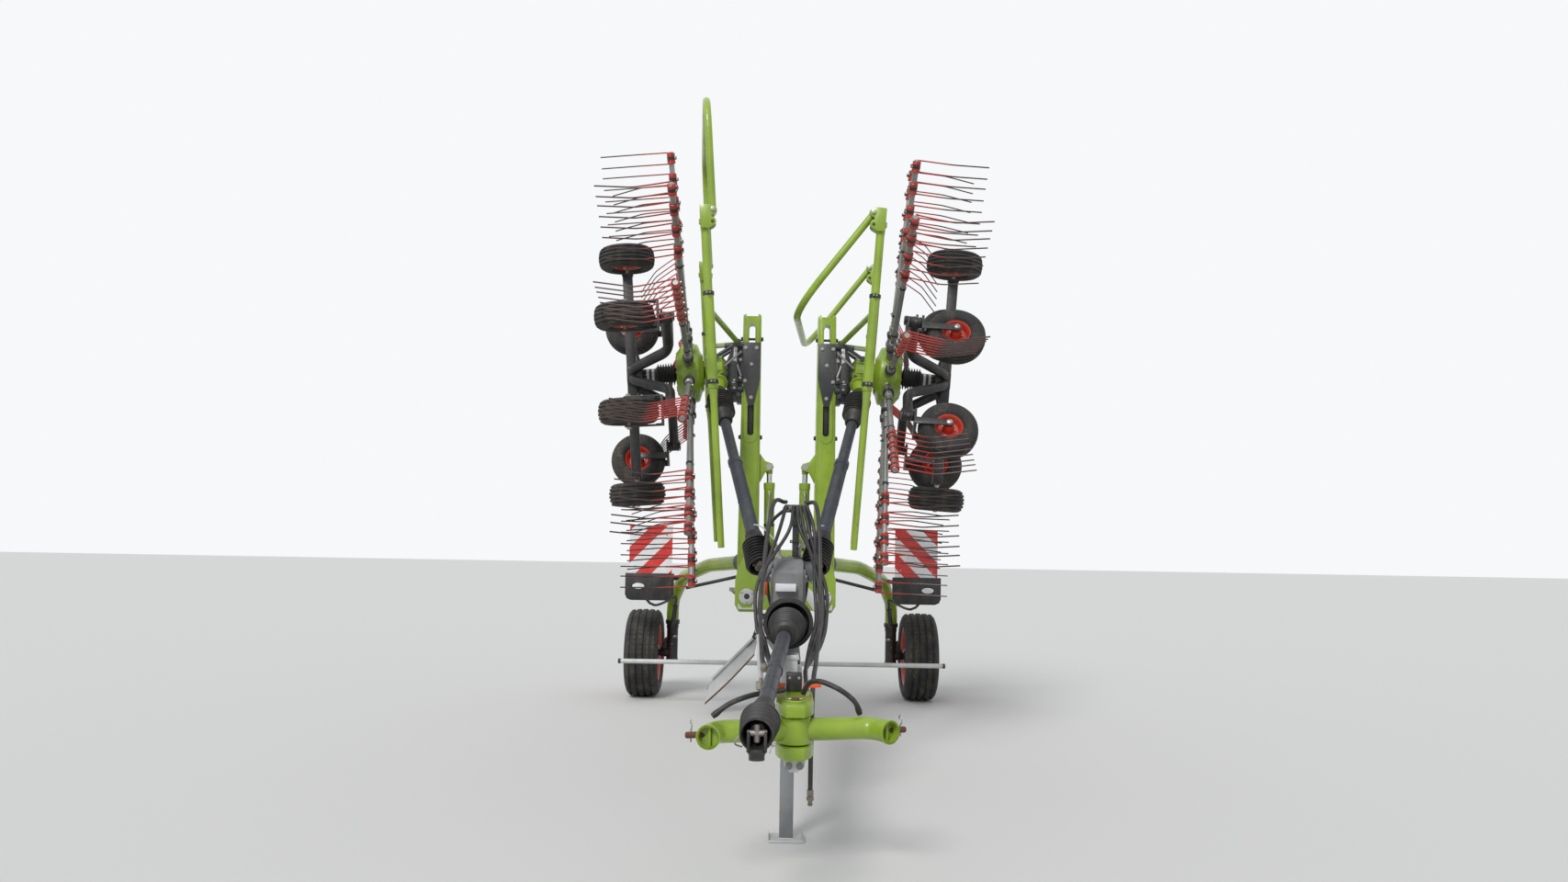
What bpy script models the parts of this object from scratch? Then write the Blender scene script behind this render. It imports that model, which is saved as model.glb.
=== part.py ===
"""Folded twin-rotor rotary rake, parked on its jack and its two transport wheels. Metres, +Z up, -Y is the hitch end."""

import math

import bmesh
import bpy
from mathutils import Matrix, Vector

# Overall sizes. Stations run rearwards from the hitch pivot.
OVERALL_LENGTH = 6.31
FRONT_OVERHANG = 0.72
GAP = 0.0003
RUNNING_GAP = 0.0015
CLEAR = 0.006
FLAT_ANGLE = math.radians(0.2)
TYRE_RADIUS = 0.39
TYRE_WIDTH = 0.30
TRACK_HALF = 1.25
HITCH_Y = FRONT_OVERHANG - OVERALL_LENGTH / 2
AXLE_Y = OVERALL_LENGTH / 2 - TYRE_RADIUS

# Drawbar and what it carries.
BEAM_HALF = 0.07
BEAM_STATIONS = [
    # station, underside, top
    (0.24, 0.60, 0.80),
    (1.10, 0.68, 0.88),
    (2.10, 0.84, 1.02),
    (2.75, 0.96, 1.16),
]
BEAM_END_UNDER = 1.14
BEAM_END_TOP = 1.34
FORK_HALF = 0.085
FORK_FRONT = 0.09
FORK_REAR = 0.34
FORK_PLATE = 0.055
FORK_MOUTH = 0.13
CROSS_Z = 0.70
CROSS_RADIUS = 0.05
CROSS_HALF = 0.36
CROSS_ELBOW = 0.12
CROSS_YAW = math.radians(12)
BOSS_RADIUS = 0.07
PIVOT_PIN = 0.02
LINK_PIN = 0.014
LINK_PIN_END = 0.50
JACK_STATION = 0.77
JACK_SLEEVE = 0.09
JACK_LEG = 0.07
JACK_BORE = 0.074
SLEEVE_FOOT = 0.42
SLEEVE_TOP = 0.94
SLEEVE_CAP = 0.01
LEG_TOP = 0.595
FOOT_LONG = 0.18
FOOT_WIDE = 0.14
FOOT_THICK = 0.012

# Arm pivots and lift cylinders.
ARM_STATION = 3.00
ARM_Y = HITCH_Y + ARM_STATION
PIVOT_X = 0.272
PIVOT_Z = 1.08
PIVOT_RADIUS = 0.035
BRACKET_GAP = 0.25
BRACKET_PLATE = 0.025
LIFT_BASE_X = 0.12
LIFT_BASE_Z = 1.235
LIFT_EYE_X = 0.13
LIFT_EYE_Z = 2.005
LIFT_PIN = 0.015
BARREL_RADIUS = 0.0375
ROD_RADIUS = 0.02
MAST_HALF = 0.0775
MAST_TIP_HALF = 0.065
MAST_DEPTH = 0.16
MAST_FOOT = 0.965
MAST_TOP = 3.11
SLOT_HALF = 0.023
SLOT_FOOT = 2.225
SLOT_TOP = 3.02

# Rotor frame: x points outboard, y rearwards, z up.
ROTOR_X = 0.717
ROTOR_Z = 2.677
ROTOR_TILT = math.radians(4.1)
ROTOR_TOE = math.radians(4)
ARM_COUNT = 12
ARM_TIP = 1.57
ARM_DROP = 0.065
TINE_LENGTH = 0.49
WHEEL_DROP = 0.424
RAKE_TYRE_RADIUS = 0.205
RAKE_TYRE_WIDTH = 0.166
GUARD_X = -0.14
GUARD_RADIUS = 0.028
GUARD_FRONT = -0.90
GUARD_REAR = 0.72
GUARD_TOP = 0.95
GUARD_FOOT = -1.25
BOW_LENGTH = 0.82
BOW_FOLD = math.radians(146)

# Drive line.
INPUT_STATION = 1.25
INPUT_Z = 1.055
PTO_MOUTH = (-0.13, -0.55, 0.83)
SIDE_X = 0.16
SIDE_STATION = 1.70
SIDE_Z = 1.34
SIDE_TOP = (0.50, 2.80, 2.50)

COLOURS = {
    # name: base colour, metallic, roughness
    "green": ((0.36, 0.52, 0.03, 1), 0.0, 0.4),
    "silver": ((0.45, 0.46, 0.45, 1), 0.3, 0.5),
    "black": ((0.02, 0.02, 0.022, 1), 0.0, 0.6),
    "rubber": ((0.025, 0.025, 0.025, 1), 0.0, 0.9),
    "slate": ((0.07, 0.075, 0.085, 1), 0.2, 0.55),
    "steel": ((0.42, 0.42, 0.40, 1), 0.8, 0.4),
    "red": ((0.55, 0.04, 0.02, 1), 0.0, 0.5),
    "rust": ((0.16, 0.06, 0.03, 1), 0.3, 0.8),
    "white": ((0.75, 0.76, 0.76, 1), 0.0, 0.5),
}


def start_scene():
    for old in list(bpy.data.objects):
        bpy.data.objects.remove(old, do_unlink=True)
    parts = bpy.data.collections.new("folded_rotary_rake")
    cutters = bpy.data.collections.new("cutters")
    for group in (parts, cutters):
        bpy.context.scene.collection.children.link(group)
    cutters.hide_render = True
    return parts, cutters


PARTS, CUTTERS = start_scene()


def paint(name):
    found = bpy.data.materials.get(name)
    if found:
        return found
    colour, metallic, roughness = COLOURS[name]
    made = bpy.data.materials.new(name)
    made.use_nodes = True
    shader = made.node_tree.nodes["Principled BSDF"]
    shader.inputs["Base Color"].default_value = colour
    shader.inputs["Metallic"].default_value = metallic
    shader.inputs["Roughness"].default_value = roughness
    made.diffuse_color = colour
    return made


def at(x, station, z):
    return Vector((x, HITCH_Y + station, z))


def solid(bm, colour):
    """A loose object from a bmesh, normals facing out."""
    bmesh.ops.remove_doubles(bm, verts=bm.verts, dist=GAP / 10)
    bmesh.ops.recalc_face_normals(bm, faces=bm.faces)
    if bm.calc_volume(signed=True) < 0:
        bmesh.ops.reverse_faces(bm, faces=bm.faces)
    mesh = bpy.data.meshes.new("piece")
    bm.to_mesh(mesh)
    bm.free()
    mesh.materials.append(paint(colour))
    return bpy.data.objects.new("piece", mesh)


def block(centre, size, colour, turn=None):
    bm = bmesh.new()
    spot = Matrix.Translation(centre)
    if turn:
        spot = spot @ turn
    bmesh.ops.create_cube(bm, size=1, matrix=spot @ Matrix.Diagonal((*size, 1)))
    return solid(bm, colour)


def line_frame(start, end):
    start = Vector(start)
    way = Vector(end) - start
    turn = Vector((0, 0, 1)).rotation_difference(way).to_matrix().to_4x4()
    return Matrix.Translation(start) @ turn, way.length


def bar(start, end, radius, colour, sides=12, end_radius=None):
    frame, length = line_frame(start, end)
    bm = bmesh.new()
    bmesh.ops.create_cone(
        bm,
        cap_ends=True,
        segments=sides,
        radius1=radius,
        radius2=radius if end_radius is None else end_radius,
        depth=length,
        matrix=frame @ Matrix.Translation((0, 0, length / 2)),
    )
    return solid(bm, colour)


def turned(profile, start, end, colour, sides=16):
    """A profile of (share of the line, radius) rows turned round the line from start to end."""
    frame, length = line_frame(start, end)
    bm = bmesh.new()
    rows = [Vector((radius, 0, share * length)) for share, radius in profile]
    rows.insert(0, Vector((0, 0, rows[0].z)))
    rows.append(Vector((0, 0, rows[-1].z)))
    verts = [bm.verts.new(row) for row in rows]
    edges = [bm.edges.new(pair) for pair in zip(verts, verts[1:])]
    bmesh.ops.spin(
        bm, geom=verts + edges, cent=(0, 0, 0), axis=(0, 0, 1), angle=math.tau, steps=sides
    )
    bmesh.ops.remove_doubles(bm, verts=bm.verts, dist=GAP / 10)
    bm.transform(frame)
    return solid(bm, colour)


def ring(profile, start, end, colour, sides=16):
    """A closed profile of (share of the line, radius) rows turned round the line."""
    frame, length = line_frame(start, end)
    bm = bmesh.new()
    verts = [bm.verts.new((radius, 0, share * length)) for share, radius in profile]
    edges = [bm.edges.new((a, b)) for a, b in zip(verts, verts[1:] + verts[:1])]
    bmesh.ops.spin(
        bm, geom=verts + edges, cent=(0, 0, 0), axis=(0, 0, 1), angle=math.tau, steps=sides
    )
    bmesh.ops.remove_doubles(bm, verts=bm.verts, dist=GAP / 10)
    bm.transform(frame)
    return solid(bm, colour)


def plate(outline, low, high, flat, colour):
    """A 2D outline drawn out from low to high along the axis that flat leaves out."""
    def place(a, b, c):
        return {"xz": (a, c, b), "xy": (a, b, c), "yz": (c, a, b)}[flat]

    bm = bmesh.new()
    verts = [bm.verts.new(place(a, b, low)) for a, b in outline]
    face = bm.faces.new(verts)
    grown = bmesh.ops.extrude_face_region(bm, geom=[face])
    moved = [v for v in grown["geom"] if isinstance(v, bmesh.types.BMVert)]
    bmesh.ops.translate(bm, verts=moved, vec=Vector(place(0, 0, high - low)))
    return solid(bm, colour)


def pipe(points, radius, colour, fineness=1):
    """A round tube along a line of points, its ends closed."""
    curve = bpy.data.curves.new("line", "CURVE")
    curve.dimensions = "3D"
    curve.bevel_depth = radius
    curve.bevel_resolution = fineness
    curve.use_fill_caps = True
    spline = curve.splines.new("POLY")
    spline.points.add(len(points) - 1)
    for target, point in zip(spline.points, points):
        target.co = (*point, 1)
    return from_curve(curve, colour)


def from_curve(curve, colour):
    holder = bpy.data.objects.new("line", curve)
    CUTTERS.objects.link(holder)
    bpy.context.view_layer.update()
    graph = bpy.context.evaluated_depsgraph_get()
    mesh = bpy.data.meshes.new_from_object(holder.evaluated_get(graph))
    bm = bmesh.new()
    bm.from_mesh(mesh)
    bpy.data.objects.remove(holder, do_unlink=True)
    return solid(bm, colour)


def rounded(points, reach, steps=4):
    """The same line with its inner corners rounded off, reach back from each."""
    points = [Vector(p) for p in points]
    line = [points[0]]
    for before, corner, after in zip(points, points[1:], points[2:]):
        first = corner + (before - corner).normalized() * reach
        last = corner + (after - corner).normalized() * reach
        for step in range(steps + 1):
            share = step / steps
            inward = first.lerp(corner, share)
            line.append(inward.lerp(corner.lerp(last, share), share))
    line.append(points[-1])
    return line


def moved(piece, frame):
    piece.data.transform(frame)
    if frame.determinant() < 0:
        piece.data.flip_normals()
    return piece


def cut(target, pieces):
    """Cutters are given in world places and stay in their own collection."""
    for number, piece in enumerate(pieces):
        piece.name = f"{target.name}_cut_{number}"
        piece.display_type = "WIRE"
        piece.hide_render = True
        CUTTERS.objects.link(piece)
        tool = target.modifiers.new(piece.name, "BOOLEAN")
        tool.operation = "DIFFERENCE"
        tool.object = piece
        tool.solver = "EXACT"


def rotor_frame(side):
    turn = Matrix.Rotation(-ROTOR_TOE, 4, "Z") @ Matrix.Rotation(ROTOR_TILT, 4, "Y")
    right = Matrix.Translation((ROTOR_X, ARM_Y, ROTOR_Z)) @ turn
    return right if side > 0 else Matrix.Diagonal((-1, 1, 1, 1)) @ right


def mirror_frame(side):
    return Matrix.Diagonal((side, 1, 1, 1))


def word(side):
    return "right" if side > 0 else "left"


def union(pieces):
    """One loose object whose mesh is the union of the pieces."""
    first = pieces[0]
    group = bpy.data.collections.new("join")
    CUTTERS.children.link(group)
    CUTTERS.objects.link(first)
    for piece in pieces[1:]:
        group.objects.link(piece)
    if len(pieces) > 1:
        join = first.modifiers.new("join", "BOOLEAN")
        join.operation = "UNION"
        join.operand_type = "COLLECTION"
        join.collection = group
        join.solver = "EXACT"
        join.material_mode = "TRANSFER"
    bpy.context.view_layer.update()
    graph = bpy.context.evaluated_depsgraph_get()
    mesh = bpy.data.meshes.new_from_object(first.evaluated_get(graph))
    for piece in pieces:
        bpy.data.objects.remove(piece, do_unlink=True)
    bpy.data.collections.remove(group)
    return bpy.data.objects.new("piece", mesh)


def fuse(name, pieces, joint=(0, 0, 0)):
    """Pieces that overlap made one named body, its origin on its joint."""
    made = union(pieces)
    bm = bmesh.new()
    bm.from_mesh(made.data)
    bmesh.ops.remove_doubles(bm, verts=bm.verts, dist=GAP / 20)
    bmesh.ops.dissolve_degenerate(bm, edges=bm.edges, dist=GAP / 20)
    bmesh.ops.dissolve_limit(bm, angle_limit=FLAT_ANGLE, verts=bm.verts, edges=bm.edges)
    bmesh.ops.translate(bm, verts=bm.verts, vec=-Vector(joint))
    bm.to_mesh(made.data)
    bm.free()
    made.name = name
    made.data.name = name
    made.location = joint
    PARTS.objects.link(made)
    return made


# Places on the drawbar that the sub-parts below share.
FORK_X = 0.02
BEAM_START = 0.30
BEAM_END = 5.05
BULKHEAD_HALF = 0.357
BULKHEAD_SHOULDER = 0.28
BULKHEAD_FOOT = 0.985
BULKHEAD_WAIST = 1.20
BULKHEAD_TOP = 1.40
BOSS_PROUD = 0.02
GEARBOX_HALF = 0.10
GEARBOX_FRONT = 1.42
GEARBOX_REAR = 1.86
GEARBOX_TOP = 1.40
GEARBOX_AXIS_Z = 1.27
SIDE_NECK = 0.06
BELL_RADIUS = 0.14
BELL_WALL = 0.012
BELL_DEPTH = 0.16
INPUT_NECK = 0.06
NECK_SHARE = 0.85
PTO_TIP = (-0.143, -0.72, 0.809)
PTO_ROWS = [
    # share of the length from the tip, radius
    (0.0, 0.030),
    (0.045, 0.042),
    (0.05, 0.070),
    (0.12, 0.060),
    (0.13, 0.070),
    (0.19, 0.058),
    (0.20, 0.050),
    (0.215, 0.035),
    (0.80, 0.035),
    (0.81, 0.050),
    (0.83, 0.058),
    (0.96, 0.066),
    (0.985, 0.066),
    (0.985, 0.020),
    (1.0, 0.020),
]
STAND_X = 0.042
STAND_STATION = 1.62
STAND_TOP = 1.72
STAND_SIZE = 0.04
STAND_HEAD = (0.16, 0.05, 0.05)
ARCH_RADIUS = 0.055
KINGPIN_INSET = 0.25
KINGPIN_X = TRACK_HALF - KINGPIN_INSET
ARCH_LINE = [
    # x, station, z of the right half, from the kingpin to the middle
    (KINGPIN_X, 5.20, 0.655),
    (KINGPIN_X, 5.18, 0.86),
    (0.88, 4.82, 1.10),
    (0.62, 4.20, 1.235),
    (0.30, 3.62, 1.29),
    (0.0, 3.50, 1.305),
]
ARCH_BEND = 0.10
SADDLE_HALF = 0.09
SADDLE_LONG = 0.16
KINGPIN_RADIUS = 0.03
KNUCKLE_RADIUS = 0.055
KNUCKLE_TOP = 0.645
KNUCKLE_FOOT = 0.31
SPINDLE_RADIUS = 0.03
SPINDLE_PAST = 0.11
SPINDLE_END = TRACK_HALF + SPINDLE_PAST
BOARD_X = 1.155
BOARD_STATION = 4.60
BOARD_HALF = 0.21
BOARD_THICK = 0.02
BOARD_FOOT = 0.906
BOARD_TOP = 1.55
BOARD_ARM = 0.02
BOARD_ARM_Z = 1.16
REAR_TUBE_Z = 0.378
REAR_TUBE_STATION = 4.65
REAR_TUBE_RADIUS = 0.02
REAR_TUBE_LEFT = -1.415
REAR_TUBE_RIGHT = 1.415
POST_SIZE = (0.10, 0.03)
DEFLECTOR_RIDGE = ((-0.185, 4.32, 0.66), (-0.637, 4.32, 0.10))
DEFLECTOR_REACH = 0.11
DEFLECTOR_TIP_REACH = 0.07
DEFLECTOR_THICK = 0.006
DEFLECTOR_STATION = 4.32
LINK_TOP = (-0.438, 4.32, 1.03)
LINK_FOOT = (-0.175, 4.32, 0.81)
LINK_RADIUS = 0.016
STEERING_LINE = ((-0.165, 1.34, 1.02), (-0.14, 0.36, 0.84))
STEERING_RADIUS = 0.014
BUTTON_SIDES = 12


def beam_height(station, top):
    """The height of the beam's top or underside at a station."""
    rows = BEAM_STATIONS + [(BEAM_END, BEAM_END_UNDER, BEAM_END_TOP)]
    column = 2 if top else 1
    for low, high in zip(rows, rows[1:]):
        if station <= high[0]:
            share = (station - low[0]) / (high[0] - low[0])
            return low[column] + share * (high[column] - low[column])
    return rows[-1][column]


def beam():
    stations = [BEAM_START] + [row[0] for row in BEAM_STATIONS[1:]] + [BEAM_END]
    lower = [(HITCH_Y + s, beam_height(s, False)) for s in stations]
    upper = [(HITCH_Y + s, beam_height(s, True)) for s in stations]
    return plate(lower + upper[::-1], -BEAM_HALF, BEAM_HALF, "yz", "silver")


def fork():
    front = HITCH_Y - FORK_FRONT
    rear = HITCH_Y + FORK_REAR
    outline = [
        (FORK_X - FORK_HALF, rear),
        (FORK_X - FORK_HALF, HITCH_Y),
        (FORK_X - FORK_HALF / 2, front),
        (FORK_X + FORK_HALF / 2, front),
        (FORK_X + FORK_HALF, HITCH_Y),
        (FORK_X + FORK_HALF, rear),
    ]
    pieces = []
    for side in (-1, 1):
        near = CROSS_Z + side * FORK_MOUTH / 2
        far = near + side * FORK_PLATE
        pieces.append(plate(outline, min(near, far), max(near, far), "xy", "green"))
    reach = FORK_MOUTH / 2 + FORK_PLATE + BOSS_PROUD
    pin = (FORK_X, 0, CROSS_Z)
    pieces.append(
        bar(at(*pin) - Vector((0, 0, reach)), at(*pin) + Vector((0, 0, reach)), PIVOT_PIN, "steel")
    )
    return pieces


def bulkheads():
    outline = [
        (-BULKHEAD_HALF, BULKHEAD_FOOT),
        (BULKHEAD_HALF, BULKHEAD_FOOT),
        (BULKHEAD_HALF, BULKHEAD_WAIST),
        (BULKHEAD_SHOULDER, BULKHEAD_TOP),
        (-BULKHEAD_SHOULDER, BULKHEAD_TOP),
        (-BULKHEAD_HALF, BULKHEAD_WAIST),
    ]
    pieces = []
    for side in (-1, 1):
        middle = ARM_Y + side * BRACKET_GAP / 2
        low, high = middle - BRACKET_PLATE / 2, middle + BRACKET_PLATE / 2
        pieces.append(plate(outline, low, high, "xz", "green"))
    for side in (-1, 1):
        for x, z, radius in (
            (PIVOT_X, PIVOT_Z, PIVOT_RADIUS),
            (LIFT_BASE_X, LIFT_BASE_Z, LIFT_PIN),
        ):
            reach = Vector((0, BRACKET_GAP / 2 + BRACKET_PLATE / 2 + BOSS_PROUD, 0))
            spot = Vector((side * x, ARM_Y, z))
            pieces.append(bar(spot - reach, spot + reach, radius, "silver", 10))
    return pieces


def jack_sleeve():
    centre = Vector((0, HITCH_Y + JACK_STATION, (SLEEVE_FOOT + SLEEVE_TOP) / 2))
    size = (JACK_SLEEVE, JACK_SLEEVE, SLEEVE_TOP - SLEEVE_FOOT)
    return block(centre, size, "silver")


def drawbar():
    rod = [at(*end) for end in STEERING_LINE]
    pieces = [beam(), *fork(), *bulkheads(), jack_sleeve(), bar(*rod, STEERING_RADIUS, "slate", 8)]
    for x, station, z in STEERING_LINE:
        low = beam_height(station, True) - BRACKET_PLATE * 2
        outline = [
            (-BEAM_HALF + BRACKET_PLATE, low),
            (-BEAM_HALF + BRACKET_PLATE, low + BRACKET_PLATE * 3),
            (x, z + STEERING_RADIUS),
            (x - STEERING_RADIUS, z - STEERING_RADIUS),
        ]
        start = HITCH_Y + station
        pieces.append(plate(outline, start - STEERING_RADIUS, start + STEERING_RADIUS, "xz", "slate"))
    body = fuse("drawbar", pieces)
    bore_foot = SLEEVE_FOOT - CLEAR
    bore_top = SLEEVE_TOP - SLEEVE_CAP
    centre = Vector((0, HITCH_Y + JACK_STATION, (bore_foot + bore_top) / 2))
    cut(body, [block(centre, (JACK_BORE, JACK_BORE, bore_top - bore_foot), "silver")])


def jack_leg():
    spot = Vector((0, HITCH_Y + JACK_STATION, 0))
    leg = block(
        spot + Vector((0, 0, (LEG_TOP + FOOT_THICK) / 2)),
        (JACK_LEG, JACK_LEG, LEG_TOP - FOOT_THICK),
        "silver",
    )
    foot = block(
        spot + Vector((0, 0, (FOOT_THICK + GAP) / 2)), (FOOT_LONG, FOOT_WIDE, FOOT_THICK + GAP), "silver"
    )
    fuse("jack_leg", [leg, foot], spot)


def headstock():
    joint = at(FORK_X, 0, CROSS_Z)
    turn = Matrix.Translation(joint) @ Matrix.Rotation(CROSS_YAW, 4, "Z")
    line = [
        (-CROSS_HALF - CROSS_RADIUS, -CROSS_ELBOW, 0),
        (-CROSS_HALF, 0, 0),
        (CROSS_HALF, 0, 0),
        (CROSS_HALF + CROSS_RADIUS, -CROSS_ELBOW, 0),
    ]
    tube = pipe(rounded(line, CROSS_ELBOW / 2, 2), CROSS_RADIUS, "green", 3)
    boss_half = FORK_MOUTH / 2 - CLEAR
    boss = bar((0, 0, -boss_half), (0, 0, boss_half), BOSS_RADIUS, "green", 16)
    pins = []
    for side in (-1, 1):
        start = (side * CROSS_HALF, -CROSS_ELBOW / 2, 0)
        end = (side * LINK_PIN_END, -CROSS_ELBOW / 2, 0)
        pins.append(bar(start, end, LINK_PIN, "rust", BUTTON_SIDES))
    pieces = [moved(piece, turn) for piece in [tube, boss, *pins]]
    body = fuse("headstock", pieces, joint)
    reach = Vector((0, 0, boss_half + CLEAR))
    bores = [bar(-reach, reach, PIVOT_PIN + RUNNING_GAP, "steel", 12)]
    for side in (-1, 1):
        mouth = Vector((side * (CROSS_HALF + CROSS_RADIUS), -CROSS_ELBOW, 0))
        inner = Vector((side * (CROSS_HALF + CROSS_RADIUS / 2), -CROSS_ELBOW / 2, 0))
        inner = mouth.lerp(inner, CROSS_RADIUS / CROSS_ELBOW)
        outer = mouth + (mouth - inner)
        bores.append(bar(inner, outer, CROSS_RADIUS - BELL_WALL, "green", 10))
    cut(body, [moved(bore, turn) for bore in bores])


def gearbox_centre():
    low = [(HITCH_Y + s, beam_height(s, True) + GAP) for s in (GEARBOX_FRONT, GEARBOX_REAR)]
    high = [(HITCH_Y + s, GEARBOX_TOP) for s in (GEARBOX_REAR, GEARBOX_FRONT)]
    housing = plate(low + high, -GEARBOX_HALF, GEARBOX_HALF, "yz", "silver")
    pieces = [housing]
    for side in (-1, 1):
        start = at(0, SIDE_STATION, GEARBOX_AXIS_Z)
        end = at(side * SIDE_X, SIDE_STATION, SIDE_Z)
        pieces.append(bar(start, end, SIDE_NECK, "silver", 12))
    start = at(0, GEARBOX_FRONT + BELL_WALL, INPUT_Z)
    pieces.append(bar(start, at(0, INPUT_STATION, INPUT_Z), INPUT_NECK * NECK_SHARE, "black", 12))
    mouth = at(0, INPUT_STATION - BELL_DEPTH / 2, INPUT_Z)
    back = at(0, INPUT_STATION + BELL_DEPTH / 2, INPUT_Z)
    cup = [
        (0.0, BELL_RADIUS),
        (0.3, BELL_RADIUS - BELL_WALL),
        (0.45, BELL_RADIUS),
        (1.0, INPUT_NECK),
        (1.0, INPUT_NECK / 2),
        (0.7, INPUT_NECK / 2),
        (0.45, BELL_RADIUS - BELL_WALL * 2.5),
        (0.0, BELL_RADIUS - BELL_WALL * 2),
    ]
    pieces.append(ring(cup, mouth, back, "black", 20))
    fuse("gearbox_centre", pieces)


def pto_shaft():
    tip = at(*PTO_TIP)
    end = at(0, INPUT_STATION, INPUT_Z)
    way = (end - tip).normalized()
    slope = math.hypot(way.x, way.z)
    tip += way * PTO_ROWS[0][1] * slope
    lean = PTO_ROWS[-1][1] * slope + GAP
    fuse("pto_shaft", [turned(PTO_ROWS, tip, end - way * lean, "black", 12)])


def hose_stand():
    foot = GEARBOX_TOP + GAP
    middle = at(STAND_X, STAND_STATION, (foot + STAND_TOP) / 2)
    post = block(middle, (STAND_SIZE, STAND_SIZE, STAND_TOP - foot), "slate")
    head = block(at(STAND_X, STAND_STATION, STAND_TOP - STAND_HEAD[2] / 2), STAND_HEAD, "slate")
    fuse("hose_stand", [post, head])


def axle_arch():
    right = [at(*row) for row in ARCH_LINE]
    left = [Vector((-p.x, p.y, p.z)) for p in right[:-1]]
    line = rounded(right + left[::-1], ARCH_BEND, 2)
    pieces = [pipe(line, ARCH_RADIUS, "green", 2)]
    middle = ARCH_LINE[-1]
    front, rear = middle[1] - SADDLE_LONG / 2, middle[1] + SADDLE_LONG / 2
    outline = [
        (HITCH_Y + front, beam_height(front, True) + GAP),
        (HITCH_Y + rear, beam_height(rear, True) + GAP),
        (HITCH_Y + rear, middle[2]),
        (HITCH_Y + front, middle[2]),
    ]
    pieces.append(plate(outline, -SADDLE_HALF, SADDLE_HALF, "yz", "green"))
    for side in (-1, 1):
        top = at(side * KINGPIN_X, ARCH_LINE[0][1], ARCH_LINE[0][2] + ARCH_RADIUS)
        foot = at(side * KINGPIN_X, ARCH_LINE[0][1], KNUCKLE_FOOT + BELL_WALL)
        pieces.append(bar(top, foot, KINGPIN_RADIUS, "steel", 12))
        pieces += board_arm(side)
    fuse("axle_arch", pieces)


def board_arm(side):
    start = at(side * ARCH_LINE[2][0], ARCH_LINE[2][1], ARCH_LINE[2][2])
    pad_y = BOARD_STATION + BOARD_THICK / 2 + GAP + BOARD_ARM
    end = at(side * BOARD_X, pad_y, BOARD_ARM_Z)
    arm = bar(start, end, BOARD_ARM, "black", 8)
    pad = block(end, (BOARD_HALF, BOARD_ARM * 2, BOARD_ARM * 4), "black")
    return [arm, pad]


def light_board(side):
    middle = at(side * BOARD_X, BOARD_STATION, (BOARD_FOOT + BOARD_TOP) / 2)
    size = (BOARD_HALF * 2, BOARD_THICK, BOARD_TOP - BOARD_FOOT)
    fuse("light_board_" + word(side), [block(middle, size, "white")])


def cross_tube():
    ends = [at(x, REAR_TUBE_STATION, REAR_TUBE_Z) for x in (REAR_TUBE_LEFT, REAR_TUBE_RIGHT)]
    tube = bar(*ends, REAR_TUBE_RADIUS, "silver")
    front, rear = (REAR_TUBE_STATION + side * POST_SIZE[1] / 2 for side in (-1, 1))
    outline = [
        (HITCH_Y + front, REAR_TUBE_Z),
        (HITCH_Y + rear, REAR_TUBE_Z),
        (HITCH_Y + rear, beam_height(rear, False) - GAP),
        (HITCH_Y + front, beam_height(front, False) - GAP),
    ]
    post = plate(outline, -POST_SIZE[0] / 2, POST_SIZE[0] / 2, "yz", "silver")
    fuse("cross_tube", [tube, post])


def deflector():
    top, tip = (at(*row) for row in DEFLECTOR_RIDGE)
    down = (tip - top).normalized()
    side = Vector((0, 1, 0))
    lift = down.cross(side).normalized()
    pieces = []
    for way in (-1, 1):
        rows = [
            top - lift * DEFLECTOR_THICK,
            tip - lift * DEFLECTOR_THICK,
            tip + side * way * DEFLECTOR_TIP_REACH - lift * DEFLECTOR_TIP_REACH / 2,
            top + side * way * DEFLECTOR_REACH - lift * DEFLECTOR_REACH / 2,
        ]
        bm = bmesh.new()
        low = [bm.verts.new(row - lift * DEFLECTOR_THICK) for row in rows]
        high = [bm.verts.new(row + lift * DEFLECTOR_THICK) for row in rows]
        bm.faces.new(low)
        bm.faces.new(high)
        for a in range(4):
            b = (a + 1) % 4
            bm.faces.new((low[a], low[b], high[b], high[a]))
        pieces.append(solid(bm, "silver"))
    link_top, link_foot = at(*LINK_TOP), at(*LINK_FOOT)
    pieces.append(bar(link_top, link_foot, LINK_RADIUS, "green", 8))
    knuckle = (LINK_RADIUS * 3, LINK_RADIUS * 3, LINK_RADIUS * 3)
    pieces.append(block(link_foot, knuckle, "black"))
    pieces.append(bar(link_foot, top + down * LINK_RADIUS * 4, LINK_RADIUS, "black", 8))
    arm_x = -BEAM_HALF - GAP
    arm_z = LINK_TOP[2]
    size = (abs(LINK_TOP[0] - arm_x) + LINK_RADIUS, LINK_RADIUS * 2, LINK_RADIUS * 2)
    arm_rise = beam_height(DEFLECTOR_STATION, False) + LINK_RADIUS * 3
    foot_size = (LINK_RADIUS * 2, LINK_RADIUS * 3, arm_rise - arm_z + LINK_RADIUS * 2)
    pieces.append(block(at(arm_x - size[0] / 2, DEFLECTOR_STATION, arm_z), size, "silver"))
    centre = at(arm_x - LINK_RADIUS, DEFLECTOR_STATION, (arm_rise + arm_z) / 2)
    pieces.append(block(centre, foot_size, "silver"))
    fuse("deflector", pieces)


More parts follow.
